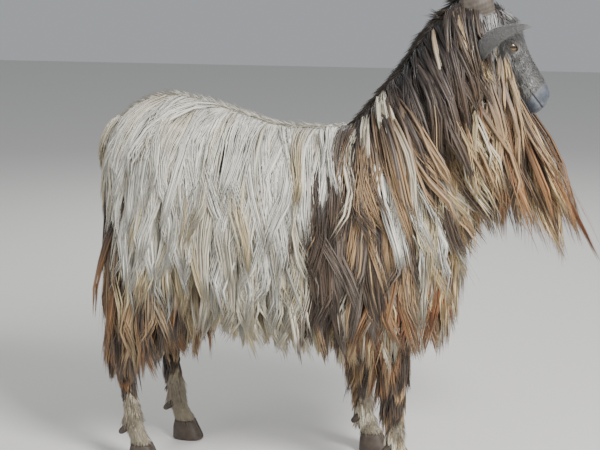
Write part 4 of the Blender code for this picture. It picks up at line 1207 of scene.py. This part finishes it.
def long_coat(name, skin, lie, tree, part_ids, wanted, keep):
    """One piece of the long coat: locks of strands that start apart and close towards a common tip."""
    count, in_lock, steps, width = COAT_PIECES[name]
    points, normals = scatter(skin, part_ids, [PARTS.index(p) for p in wanted], count * SPARE_ROOTS)
    roots = []
    for point, normal in zip(points, normals):
        if not keep(point):
            continue
        place = Vector(point)
        rule = lie.at(place)
        if rule[2] < LONG_FROM or eye_near(place) < EYE_R * EYE_CLEAR:
            continue
        roots.append((place, Vector(normal), *rule))
        if len(roots) == count:
            break
    guides = []
    locks = max(1, len(roots) // in_lock)
    finder = KDTree(locks)
    for i, (place, normal, comb, drift, length, lift) in enumerate(roots[:locks]):
        stray = Vector(dice.normal(0, LOCK_STRAY, 3))
        stray -= normal * stray.dot(normal) * LOCK_STRAY_FLAT
        stray *= min(1.0, length / LOCK_STRAY_FULL)
        layer = dice.uniform(*LOCK_LAYERS)
        reach = length * dice.uniform(*LOCK_REACH)
        line, _ = grow(tree, place, normal, comb + stray, (drift + stray * 0.5).normalized(),
                       reach, lift, layer, steps)
        colours = pick(lie.mix(place, dice.random()), dice.random())
        guides.append((np.array(line), stray, layer, reach / length, colours, dice.uniform(0, FULL_TURN),
                       dice.uniform(*LOCK_WAVES), dice.uniform(*LOCK_SWING)))
        finder.insert(apart(wanted[0], place), i)
    finder.balance()
    lines, facings, widths, colours, homes = [], [], [], [], []
    t = shares(steps)
    for i, (place, normal, comb, drift, length, lift) in enumerate(roots):
        _, which, _ = finder.find(apart(wanted[0], place))
        guide, stray, layer, reach, tones, phase, waves, swing = guides[which]
        wide, high = FINE if i % BROAD_EACH else BROAD
        share = dice.uniform(*STRAND_REACH)
        own = Vector(dice.normal(0, STRAND_STRAY, 3))
        fall = (drift + (stray + own) * 0.5).normalized()
        line, facing = grow(tree, place, normal, comb + stray + own, fall, length * reach * share,
                            lift, layer * high * dice.uniform(*STRAND_LAYERS), steps)
        line = np.array(line)
        mate = np.stack([np.interp(t * share, t, guide[:, k]) for k in range(3)], axis=1)
        pull = (CLUMPING * dice.uniform(*CLUMPING_SHARES) * t**0.9)[:, None]
        spread = dice.normal(0, TIP_SPREAD, 3)
        line = line * (1 - pull) + (mate + spread) * pull
        sideways = np.array(drift.cross(facing[-1]))
        reach_out = WAVE * swing * min(1.0, (length / WAVE_FULL) ** 1.5)
        line += sideways * (reach_out * t**1.5 * np.sin(phase + FULL_TURN * waves * t))[:, None]
        for k in range(1, steps):
            near, out, _, distance = tree.find_nearest(line[k])
            away = Vector(line[k]) - near
            if away.dot(out) < 0 or distance < SKIN_NEAR:
                line[k] = near + out * SKIN_CLEAR
        line[:, 2] = np.maximum(line[:, 2], FLOOR_CLEAR)
        if dice.random() < ODD_COLOURS:
            tones = pick(lie.mix(place, dice.random()), dice.random())
        light = dice.normal(1.0, STRAND_LIGHT)
        lines.append(line)
        facings.append([tuple(f) for f in facing])
        widths.append(width * wide * dice.uniform(*STRAND_WIDTHS))
        colours.append((tones[0] * light, tones[1] * light))
        homes.append(unwrap(wanted[0], place))
    return strand_mesh(name, lines, facings, widths, colours, homes)


def apart(part, place):
    """A place pushed away from the other side of its part, so that no lock gathers hair across it."""
    middle = 0.0
    if part == "head":
        middle = place.y - (HEAD_BACK @ place).y
    elif part == "neck":
        middle = np.interp(place.x, *NECK_MIDDLE)
    elif part in LEGS:
        middle = LEGS[part][2]
    return place + Vector((0, math.copysign(SIDES_APART, place.y - middle), 0))


EYES = [head_point(mirrored(EYE_AT, side)) for side in (-1, 1)]


def eye_near(point):
    """How far a point is from the nearer eye's middle."""
    return min((point - eye).length for eye in EYES)


def bare_share(local):
    """How bare the muzzle is at a place in the head's frame: nose, lips and nostrils."""
    return float(np.clip((local.x - MUZZLE_FROM) / MUZZLE_FADE, 0, 1))


def mark_skin(skin, lie, part_ids):
    """Writes the lie, short length, colours and bareness of the coat on the skin's points."""
    mesh = skin.data
    count = len(mesh.vertices)
    combs = np.zeros((count, 3))
    lengths = np.zeros(count)
    tones = np.ones((count, 4))
    bare = np.zeros(count)
    roots = {mix: mean_root(mix) for mix in MIXES}
    dark = LINEAR["soot"]
    for i, vertex in enumerate(mesh.vertices):
        place = vertex.co
        part = PARTS[part_ids[i]]
        comb, _, length, _ = lie.at(place)
        tone = sum(weight * roots[found[1]] for weight, found in lie.near(place))
        if part.startswith("ear"):
            side = -1 if part == "ear_right" else 1
            along = head_point(mirrored(EAR_TIP, side)) - place
            comb, length, tone = along.normalized(), EAR_HAIR, mean_root("ear")
            length *= min(1.0, along.length / EAR_HAIR_FULL)
        elif part == "head":
            local = HEAD_BACK @ place
            bare[i] = bare_share(local)
            length *= 1 - bare[i]
            rim = eye_near(place)
            if rim < EYE_R + LID_BARE:
                length = 0.0
                tone = tone * (1 - LID_SHADE) + dark * LID_SHADE
        normal = vertex.normal
        if length >= LONG_FROM:
            length = 0.0
            if part in ("torso", "neck", "head"):
                if normal.z > CREST_FACING and abs(from_middle(place)) < CREST_WIDTH:
                    comb, length = comb * CREST_LEAN + CREST_COMB, CREST_LENGTH
                # Painted shade: the hide under long hair of the neck and head is darkened as if shaded by it,
                # and the short crest tufts grown there take this darker colour too
                if part != "torso":
                    tone = tone * PAINTED_UNDER_SHADE
        comb = comb - normal * comb.dot(normal)
        combs[i] = comb.normalized() + normal * SHORT_RISE
        lengths[i] = length
        tones[i, :3] = tone
    for name, kind, key, values in (
        ("comb", "FLOAT_VECTOR", "vector", combs),
        ("short_length", "FLOAT", "value", lengths),
        ("bare", "FLOAT", "value", bare),
    ):
        made = mesh.attributes.new(name, kind, "POINT")
        made.data.foreach_set(key, values.reshape(-1))
    made = mesh.color_attributes.new("coat_colour", "FLOAT_COLOR", "POINT")
    made.data.foreach_set("color", tones.reshape(-1))
    made = mesh.attributes.new("part", "INT", "POINT")
    made.data.foreach_set("value", part_ids.astype(np.int32))


def tuft_tree(name, finish):
    """Geometry Nodes that set short, flat tufts on the skin along its comb."""
    tree = bpy.data.node_groups.new(name, "GeometryNodeTree")
    tree.interface.new_socket("Geometry", in_out="INPUT", socket_type="NodeSocketGeometry")
    for label in ("Density", "Width share", "Lowest part", "Highest part"):
        tree.interface.new_socket(label, in_out="INPUT", socket_type="NodeSocketFloat")
    tree.interface.new_socket("Seed", in_out="INPUT", socket_type="NodeSocketInt")
    tree.interface.new_socket("Geometry", in_out="OUTPUT", socket_type="NodeSocketGeometry")
    given = tree.nodes.new("NodeGroupInput").outputs
    far = node(tree, "GeometryNodeInputNamedAttribute", {"Name": "short_length"}, data_type="FLOAT")
    comb = node(tree, "GeometryNodeInputNamedAttribute", {"Name": "comb"}, data_type="FLOAT_VECTOR")
    part = node(tree, "GeometryNodeInputNamedAttribute", {"Name": "part"}, data_type="INT")
    above = maths(tree, "GREATER_THAN", part.outputs[0], given["Lowest part"])
    below = maths(tree, "LESS_THAN", part.outputs[0], given["Highest part"])
    haired = maths(tree, "GREATER_THAN", far.outputs[0], TUFT_LEAST)
    wanted = maths(tree, "MULTIPLY", maths(tree, "MULTIPLY", above, below), haired)
    dense = maths(tree, "MULTIPLY", wanted, given["Density"])
    points = node(tree, "GeometryNodeDistributePointsOnFaces",
                  {"Mesh": given["Geometry"], "Density": dense, "Seed": given["Seed"]})
    where = node(tree, "GeometryNodeInputPosition")
    kept = node(tree, "GeometryNodeStoreNamedAttribute",
                {"Geometry": points.outputs[0], "Name": "root_place", "Value": where.outputs[0]},
                data_type="FLOAT_VECTOR", domain="POINT")
    cone = node(tree, "GeometryNodeMeshCone",
                {"Vertices": 3, "Radius Top": 0.0, "Radius Bottom": 1.0, "Depth": 1.0})
    astray = node(tree, "FunctionNodeRandomValue",
                  {"Min": (-TUFT_STRAY,) * 3, "Max": (TUFT_STRAY,) * 3, "Seed": given["Seed"]},
                  data_type="FLOAT_VECTOR")
    heading = node(tree, "ShaderNodeVectorMath", {0: comb.outputs[0], 1: astray.outputs[0]}, operation="ADD")
    turned = node(tree, "FunctionNodeAlignRotationToVector", {"Vector": heading.outputs[0]}, axis="Z")
    least, most = TUFT_LENGTHS
    size = node(tree, "FunctionNodeRandomValue", {2: least, 3: most, "Seed": 3}, data_type="FLOAT")
    tall = maths(tree, "MULTIPLY", far.outputs[0], size.outputs[1])
    wide = maths(tree, "MULTIPLY", far.outputs[0], given["Width share"])
    scale = node(tree, "ShaderNodeCombineXYZ", {"X": wide, "Y": wide, "Z": tall})
    tufts = node(tree, "GeometryNodeInstanceOnPoints",
                 {"Points": kept.outputs[0], "Instance": cone.outputs[0], "Rotation": turned.outputs[0],
                  "Scale": scale.outputs[0]})
    real = node(tree, "GeometryNodeRealizeInstances", {"Geometry": tufts.outputs[0]})
    covered = node(tree, "GeometryNodeSetMaterial", {"Geometry": real.outputs[0], "Material": finish})
    node(tree, "NodeGroupOutput", {"Geometry": covered.outputs[0]})
    return tree


def short_coat(name, skin, tree, settings):
    """Short tufts on some parts of the skin, as one plain mesh with its bake patches."""
    piece = bpy.data.objects.new(name, skin.data.copy())
    bpy.context.scene.collection.objects.link(piece)
    modifier = piece.modifiers.new("tufts", "NODES")
    modifier.node_group = tree
    for item in tree.interface.items_tree:
        if item.name in settings:
            modifier[item.identifier] = settings[item.name]
    applied(piece)
    mesh = piece.data
    count = len(mesh.vertices)
    roots = np.empty(count * 3)
    mesh.attributes["root_place"].data.foreach_get("vector", roots)
    parts = np.empty(count, dtype=np.int32)
    mesh.attributes["part"].data.foreach_get("value", parts)
    roots = roots.reshape(-1, 3)
    homes = np.empty((count, 2))
    last, home = None, None
    for i in range(count):
        spot = tuple(roots[i])
        if spot != last:
            last, home = spot, unwrap(PARTS[parts[i]], spot)
            if PARTS[parts[i]] in LEGS:
                place = list(LEGS).index(PARTS[parts[i]])
                home = ((home[0] + place % 2) / 2, (home[1] + place // 2) / 2)
        homes[i] = home
    homes[:, 0] += np.tile([0.0, PATCH, -PATCH, 0.0], count // 4) / 2 if count % 4 == 0 else 0
    bake = mesh.uv_layers.new(name="OFBake")
    corners = np.empty(len(mesh.loops), dtype=np.int32)
    mesh.loops.foreach_get("vertex_index", corners)
    bake.data.foreach_set("uv", homes[corners].reshape(-1))
    for spare in ("root_place", "comb", "short_length", "bare", "part"):
        if spare in mesh.attributes:
            mesh.attributes.remove(mesh.attributes[spare])
    mesh.shade_smooth()
    return piece


def horn_piece(side):
    """A horn with the broad rings of each year and the fine rings between them."""
    place = head_matrix()
    point = mirrored(HORN_ROOT, side)
    count, sides = HORN_DETAIL
    step = HORN_LENGTH / (count - 1)
    start = HORN_START[side]
    rings = []
    for i in range(count):
        t = i / (count - 1)
        angle = start + HORN_TURN * t
        spread = HORN_SPREAD * math.sin(HORN_FLARE[0] + HORN_FLARE[1] * t)
        tangent = Vector((math.cos(angle), side * spread, math.sin(angle))).normalized()
        across = (Vector((0, 1, 0)) - tangent * tangent.y).normalized()
        along = across.cross(tangent).normalized()
        taper = (1 - t) ** HORN_TAPER * (1 - HORN_TIP) + HORN_TIP
        year = 0.5 - 0.5 * math.cos(2 * math.pi * (HORN_RINGS - 1) / 2 * t)
        fine = math.sin(t * HORN_FINE_RATE + HORN_FINE_WANDER[0] * math.sin(t * HORN_FINE_WANDER[1]))
        ridge = 1 + (1 - t) * (HORN_RIDGE * year**1.6 + HORN_FINE * fine)
        ring = []
        for k in range(sides):
            a = 2 * math.pi * k / sides
            keel = 1 + HORN_KEEL * max(0.0, math.sin(a)) ** 6
            dent = 1 + HORN_DENT * (math.sin(5 * a + 9 * t) + math.sin(3 * a - 23 * t))
            ring.append(place @ (point + along * (math.sin(a) * HORN_DEEP * taper * ridge * dent * keel)
                                 + across * (math.cos(a) * HORN_WIDE * taper * ridge * dent)))
        rings.append(ring)
        point = point + tangent * step
    return object_of("horn_" + ("right" if side < 0 else "left") + "_ringed", loft(rings))


def claw_piece(name, x, y, side):
    """One claw of a hoof: a straight inner wall, a round outer wall and a slightly worn edge."""
    rows = curve_through(CLAW, CLAW_ROWS)
    rows = np.vstack([rows, rows[-1]])
    rows[-2][0] = CLAW_EDGE
    rows[-1][1:] += CLAW_WORN
    rings = []
    for z, back, front, wide in rows:
        middle, reach = (front + back) / 2, (front - back) / 2
        ring = []
        for k in range(CLAW_ARC + 1):
            a = math.pi * (k / CLAW_ARC - 0.5)
            out = HOOF_SPLIT / 2 + wide * max(0.0, math.cos(a)) ** CLAW_ROUND
            grain = 1 + CLAW_GRAIN[0] * math.sin(z * CLAW_GRAIN[1] + a)
            along = x + middle + reach * math.sin(a) * grain
            ring.append(Vector((along, y + side * out * grain, max(z, 0.0))))
        for k in range(1, CLAW_FLAT):
            share = k / CLAW_FLAT
            hollow = Vector((0, -side * CLAW_HOLLOW * math.sin(math.pi * share), 0))
            ring.append(ring[CLAW_ARC].lerp(ring[0], share) + hollow)
        rings.append(ring)
    return object_of(name, loft(rings))


def dewclaw_piece(name, x, y, z, side):
    """A dewclaw: a short blunt cone that points down, back and a little outward."""
    heading = mirrored(DEWCLAW_POINTS, side).normalized()
    across = heading.cross(Vector((0, 0, 1))).normalized()
    along = across.cross(heading)
    rings = []
    count, sides = DEWCLAW_DETAIL
    for reach, radius in curve_through(DEWCLAW, count):
        rings.append(oval(Vector((x, y, z)) + heading * reach, along, across, radius, radius, sides))
    return object_of(name, loft(rings))


def eye_piece(side):
    """An eyeball with a raised cornea, and a map that looks along its gaze."""
    turn = head_matrix().to_3x3()
    centre = head_point(mirrored(EYE_AT, side))
    gaze = (turn @ mirrored(EYE_LOOKS, side)).normalized()
    facing = look_along(gaze)
    bm = ball(centre, EYE_R, turn=facing, cuts=EYE_CUTS)
    for v in bm.verts:
        away = v.co - centre
        aside = math.acos(max(-1.0, min(1.0, away.normalized().dot(gaze))))
        bulge = math.exp(-((aside / CORNEA_REACH) ** 2))
        v.co = centre + away * (1 + CORNEA_RISE * bulge)
    obj = object_of("eye_" + ("right" if side < 0 else "left") + "_ball", bm)
    flat = facing.transposed()
    look = obj.data.uv_layers.new(name="gaze")
    for loop in obj.data.loops:
        local = flat @ (obj.data.vertices[loop.vertex_index].co - centre)
        look.data[loop.index].uv = (local.x / EYE_R, local.y / EYE_R)
    return obj


def new_material(name):
    made = bpy.data.materials.new(name)
    made.use_nodes = True
    return made, made.node_tree, made.node_tree.nodes["Principled BSDF"]


def ramp(tree, factor, stops):
    """A colour ramp with its stops: place, sRGB hex."""
    made = node(tree, "ShaderNodeValToRGB", {"Fac": factor})
    bar = made.color_ramp
    while len(bar.elements) < len(stops):
        bar.elements.new(0.5)
    for element, (place, colour) in zip(bar.elements, stops):
        element.position = place
        element.color = (*linear(colour), 1.0)
    return made.outputs[0]


def noise(tree, vector, scale, detail, **settings):
    values = {"Vector": vector, "Scale": scale, "Detail": detail}
    return node(tree, "ShaderNodeTexNoise", values, **settings).outputs[0]


def stretched(tree, vector, scale):
    return node(tree, "ShaderNodeMapping", {"Vector": vector, "Scale": scale}).outputs[0]


def ranged(tree, value, low, high, first=0.0, last=1.0):
    """A value between first and last, brought to between low and high."""
    values = {"Value": value, "From Min": first, "From Max": last, "To Min": low, "To Max": high}
    return node(tree, "ShaderNodeMapRange", values).outputs[0]


def maths(tree, operation, first, second):
    return node(tree, "ShaderNodeMath", {0: first, 1: second}, operation=operation).outputs[0]


def scaled(tree, vector, by):
    return node(tree, "ShaderNodeVectorMath", {0: vector, "Scale": by}, operation="SCALE").outputs[0]


def blended(tree, factor, first, second):
    """A colour between two colours."""
    values = {"Factor": factor, "A": first, "B": second}
    return node(tree, "ShaderNodeMix", values, data_type="RGBA").outputs[2]


def relief(tree, height, strength, distance):
    values = {"Height": height, "Strength": strength, "Distance": distance}
    return node(tree, "ShaderNodeBump", values).outputs[0]


def finished(tree, shader, links, numbers):
    """Links a shader's sockets, and sets its plain numbers on its own sockets."""
    for socket, output in links.items():
        tree.links.new(output, shader.inputs[socket])
    for socket, number in numbers.items():
        shader.inputs[socket].default_value = number


def coat_material():
    """Washed goat hair: each strand has its own colour, finely mottled, with a soft silky shine."""
    made, tree, shader = new_material("silky_goat_hair")
    colour = node(tree, "ShaderNodeAttribute", attribute_name="coat_colour").outputs["Color"]
    where = node(tree, "ShaderNodeTexCoord").outputs["Object"]
    patches = noise(tree, where, 16.0, 3.0)
    # Single hairs about 2 mm apart across a tuft, with finer ones between, and long along it
    own = node(tree, "ShaderNodeUVMap", uv_map="hair").outputs[0]
    fine = noise(tree, stretched(tree, own, (430.0, 6.0, 1.0)), 1.0, 3.0, noise_dimensions="2D")
    shade = maths(tree, "MULTIPLY", ranged(tree, patches, 0.86, 1.08, 0.3, 0.7),
                  ranged(tree, fine, 0.60, 1.22, 0.3, 0.7))
    finished(tree, shader, {
        "Base Color": scaled(tree, colour, shade),
        "Roughness": ranged(tree, fine, 0.36, 0.60),
        "Normal": relief(tree, fine, 0.5, 0.0006),
    }, {"IOR": 1.55, "Specular IOR Level": 0.45, "Sheen Weight": 0.12, "Sheen Roughness": 0.45})
    return made


def skin_material():
    """Hide under short hair: the coat's own colours with a fine nap, darkened as painted shade under the long
    hair of the neck and head, and bare blue-grey skin on the nose.
    """
    made, tree, shader = new_material("short_haired_hide")
    colour = node(tree, "ShaderNodeAttribute", attribute_name="coat_colour").outputs["Color"]
    bare = node(tree, "ShaderNodeAttribute", attribute_name="bare").outputs["Fac"]
    where = node(tree, "ShaderNodeTexCoord").outputs["Object"]
    # Hair about 1 mm apart, drawn long the way it lies down the body
    nap = noise(tree, stretched(tree, where, (1.0, 1.0, 0.25)), 900.0, 3.0)
    haired = scaled(tree, colour, ranged(tree, nap, 0.72, 1.12, 0.3, 0.7))
    patches = noise(tree, where, 42.0, 3.0)
    nose = ramp(tree, patches, ((0.30, "#34383e"), (0.52, "#4f545c"), (0.75, "#74767a")))
    # Pebbled skin of the nose, grains about 1.5 mm
    pebbles = node(tree, "ShaderNodeTexVoronoi", {"Vector": where, "Scale": 650.0}).outputs["Distance"]
    high = node(tree, "ShaderNodeMix", {"Factor": bare, "A": nap, "B": pebbles}, data_type="FLOAT")
    finished(tree, shader, {
        "Base Color": blended(tree, bare, haired, nose),
        "Roughness": ranged(tree, bare, 0.78, 0.46),
        "Normal": relief(tree, high.outputs[0], 0.45, 0.0012),
    }, {"IOR": 1.45, "Sheen Weight": 0.10})
    return made


def horn_material():
    """Weathered horn keratin: grey-brown, darker in the furrows, with fine streaks along the growth."""
    made, tree, shader = new_material("weathered_horn_keratin")
    where = node(tree, "ShaderNodeTexCoord").outputs["Object"]
    streaks = noise(tree, stretched(tree, where, (1.0, 1.0, 0.3)), 210.0, 5.0)
    patches = noise(tree, where, 26.0, 4.0)
    hollow = node(tree, "ShaderNodeNewGeometry").outputs["Pointiness"]
    value = maths(tree, "ADD", maths(tree, "MULTIPLY", streaks, patches),
                  ranged(tree, hollow, 0.0, 0.5, 0.46, 0.54))
    colour = ramp(tree, value, ((0.12, "#2b2520"), (0.40, "#463e37"), (0.66, "#675e54"), (0.95, "#877d70")))
    finished(tree, shader, {
        "Base Color": colour,
        "Roughness": ranged(tree, patches, 0.42, 0.68),
        "Normal": relief(tree, streaks, 0.5, 0.0015),
    }, {"IOR": 1.54})
    return made


def hoof_material():
    """Dry hoof keratin: dark brown with growth lines level with the coronet, 2 mm apart, and dust."""
    made, tree, shader = new_material("dry_hoof_keratin")
    where = node(tree, "ShaderNodeTexCoord").outputs["Object"]
    wave = {"Vector": where, "Scale": 160.0, "Distortion": 2.0, "Detail": 2.0}
    lines = node(tree, "ShaderNodeTexWave", wave, bands_direction="Z").outputs["Fac"]
    stains = noise(tree, where, 60.0, 4.0)
    value = maths(tree, "MULTIPLY", lines, stains)
    finished(tree, shader, {
        "Base Color": ramp(tree, value, ((0.05, "#2b231d"), (0.35, "#4b3f34"), (0.70, "#75685a"))),
        "Roughness": ranged(tree, stains, 0.40, 0.70),
        "Normal": relief(tree, lines, 0.35, 0.0008),
    }, {"IOR": 1.54})
    return made


def eye_material():
    """A goat's eye: amber iris with radial fibres, a level bar of a pupil, and a wet clear cornea."""
    made, tree, shader = new_material("wet_amber_eye")
    gaze = node(tree, "ShaderNodeUVMap", uv_map="gaze").outputs[0]
    split = node(tree, "ShaderNodeSeparateXYZ", {"Vector": gaze}).outputs
    level = stretched(tree, gaze, (1.0, 2.9, 1.0))
    bar = node(tree, "ShaderNodeVectorMath", {0: level}, operation="LENGTH").outputs["Value"]
    radius = node(tree, "ShaderNodeVectorMath", {0: gaze}, operation="LENGTH").outputs["Value"]
    angle = maths(tree, "ARCTAN2", split["Y"], split["X"])
    fibres = node(tree, "ShaderNodeTexNoise", {"W": angle, "Scale": 9.0, "Detail": 4.0},
                  noise_dimensions="1D").outputs[0]
    iris = ramp(tree, fibres, ((0.30, "#46331a"), (0.50, "#6b5430"), (0.72, "#8a7348")))
    pupil = ranged(tree, bar, 0.0, 1.0, 0.50, 0.56)
    dark = blended(tree, pupil, (0.004, 0.004, 0.006, 1.0), iris)
    rim = ranged(tree, radius, 0.0, 1.0, 0.66, 0.78)
    white = blended(tree, rim, dark, (*linear("#5b4636"), 1.0))
    finished(tree, shader, {"Base Color": white},
             {"Roughness": 0.12, "IOR": 1.38, "Coat Weight": 1.0, "Coat Roughness": 0.03})
    return made


def floor_and_lights():
    """A plain pale floor, a soft key light from the camera's right, a wide fill and a rim light behind."""
    bm = bmesh.new()
    bmesh.ops.create_grid(bm, x_segments=1, y_segments=1, size=FLOOR_REACH)
    mesh = bpy.data.meshes.new("studio_floor")
    bm.to_mesh(mesh)
    bm.free()
    floor = bpy.data.objects.new("studio_floor", mesh)
    bpy.context.scene.collection.objects.link(floor)
    made, _, shader = new_material("pale_studio_floor")
    shader.inputs["Base Color"].default_value = (*linear("#d8d6d2"), 1.0)
    shader.inputs["Roughness"].default_value = 0.85
    mesh.materials.append(made)
    world = bpy.data.worlds.new("studio")
    world.use_nodes = True
    sky = world.node_tree.nodes["Background"]
    sky.inputs["Color"].default_value = (*linear("#e9edf2"), 1.0)
    sky.inputs["Strength"].default_value = SKY_STRENGTH
    bpy.context.scene.world = world
    for name, (place, power, size) in LIGHTS.items():
        lamp = bpy.data.lights.new(name, "AREA")
        lamp.energy = power
        lamp.size = size
        light = bpy.data.objects.new(name, lamp)
        light.location = place
        light.rotation_euler = (LIT_PLACE - Vector(place)).to_track_quat("-Z", "Y").to_euler()
        bpy.context.scene.collection.objects.link(light)


def photo_camera():
    """The photograph's camera: a little above level, from the goat's right, a little towards its head."""
    back = Vector((
        math.sin(CAMERA_AZIMUTH) * math.cos(CAMERA_ELEVATION),
        -math.cos(CAMERA_AZIMUTH) * math.cos(CAMERA_ELEVATION),
        math.sin(CAMERA_ELEVATION),
    ))
    lens = bpy.data.cameras.new("photo_camera")
    lens.lens = CAMERA_LENS
    lens.sensor_width = CAMERA_SENSOR
    lens.clip_start = CAMERA_CLIP
    camera = bpy.data.objects.new("photo_camera", lens)
    camera.location = CAMERA_TARGET - ORIGIN + back * CAMERA_DISTANCE
    camera.rotation_euler = (-back).to_track_quat("-Z", "Y").to_euler()
    bpy.context.scene.collection.objects.link(camera)
    bpy.context.scene.camera = camera


def dress(piece, finish, nodes):
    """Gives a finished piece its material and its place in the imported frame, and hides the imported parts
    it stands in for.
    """
    piece.data.materials.clear()
    piece.data.materials.append(finish)
    piece.data.transform(Matrix.Translation(-ORIGIN))
    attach(piece, "root")
    if nodes:
        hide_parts(*nodes)



def main():
    photo_camera()
    floor_and_lights()
    hair, hide = coat_material(), skin_material()
    horn_finish, hoof_finish, eye_finish = horn_material(), hoof_material(), eye_material()

    skin = whole_skin()
    trees = dense_trees()
    part_ids = np.array([PARTS.index(part_of(trees, v.co)) for v in skin.data.vertices])
    lie = Lie()
    mark_skin(skin, lie, part_ids)
    bm = bmesh.new()
    bm.from_mesh(skin.data)
    tree = BVHTree.FromBMesh(bm)
    bm.free()

    halves = {"right": lambda p: p[1] < 0, "left": lambda p: p[1] >= 0}
    pieces = []
    for word, own in halves.items():
        for name, keep in (("back", lambda p: p[0] < COAT_SPLIT_X), ("fore", lambda p: p[0] >= COAT_SPLIT_X)):
            pieces.append(long_coat(f"coat_{name}_{word}", skin, lie, tree, part_ids, ["torso"],
                                    lambda p, own=own, keep=keep: own(p) and keep(p)))
        pieces.append(long_coat(f"coat_neck_{word}", skin, lie, tree, part_ids, ["neck"],
                                lambda p, own=own: own((0, p[1] - np.interp(p[0], *NECK_MIDDLE)))))
    pieces.append(long_coat("coat_beard", skin, lie, tree, part_ids, ["head"], lambda p: True))
    pieces.append(long_coat("coat_tail", skin, lie, tree, part_ids, ["tail"], lambda p: True))
    for name in LEGS:
        pieces.append(long_coat("coat_" + name, skin, lie, tree, part_ids, [name], lambda p: True))
    tufts = tuft_tree("short_tufts", hair)
    for seed, (name, (density, width, first, last)) in enumerate(SHORT_COATS.items(), SHORT_SEED):
        pieces.append(short_coat(name, skin, tufts, {
            "Density": density, "Width share": width, "Lowest part": PARTS.index(first) - 0.5,
            "Highest part": PARTS.index(last) + 0.5, "Seed": seed}))
    for piece in pieces:
        dress(piece, hair, ())
    dress(skin, hide, FLESH_NODES)

    for side, word in ((-1, "right"), (1, "left")):
        dress(horn_piece(side), horn_finish, ("horn_" + word,))
        dress(eye_piece(side), eye_finish, ("eye_" + word,))
    for name, (stations, x0, y0) in LEGS.items():
        foot = name.replace("leg_", "")
        for side, word in ((-1, "outer" if y0 < 0 else "inner"), (1, "inner" if y0 < 0 else "outer")):
            claw = claw_piece(f"claw_{foot}_{word}", x0 + stations[-1][0], y0, side)
            dress(claw, hoof_finish, (f"hoof_{foot}_{word}",))
            back, out, down = DEWCLAW_AT
            spot = (x0 + stations[-3][0] + back, y0 + side * out, stations[-3][1] + down)
            dew = dewclaw_piece(f"dew_{foot}_{word}", *spot, side)
            dress(dew, hoof_finish, (f"dewclaw_{foot}_{word}",))


main()
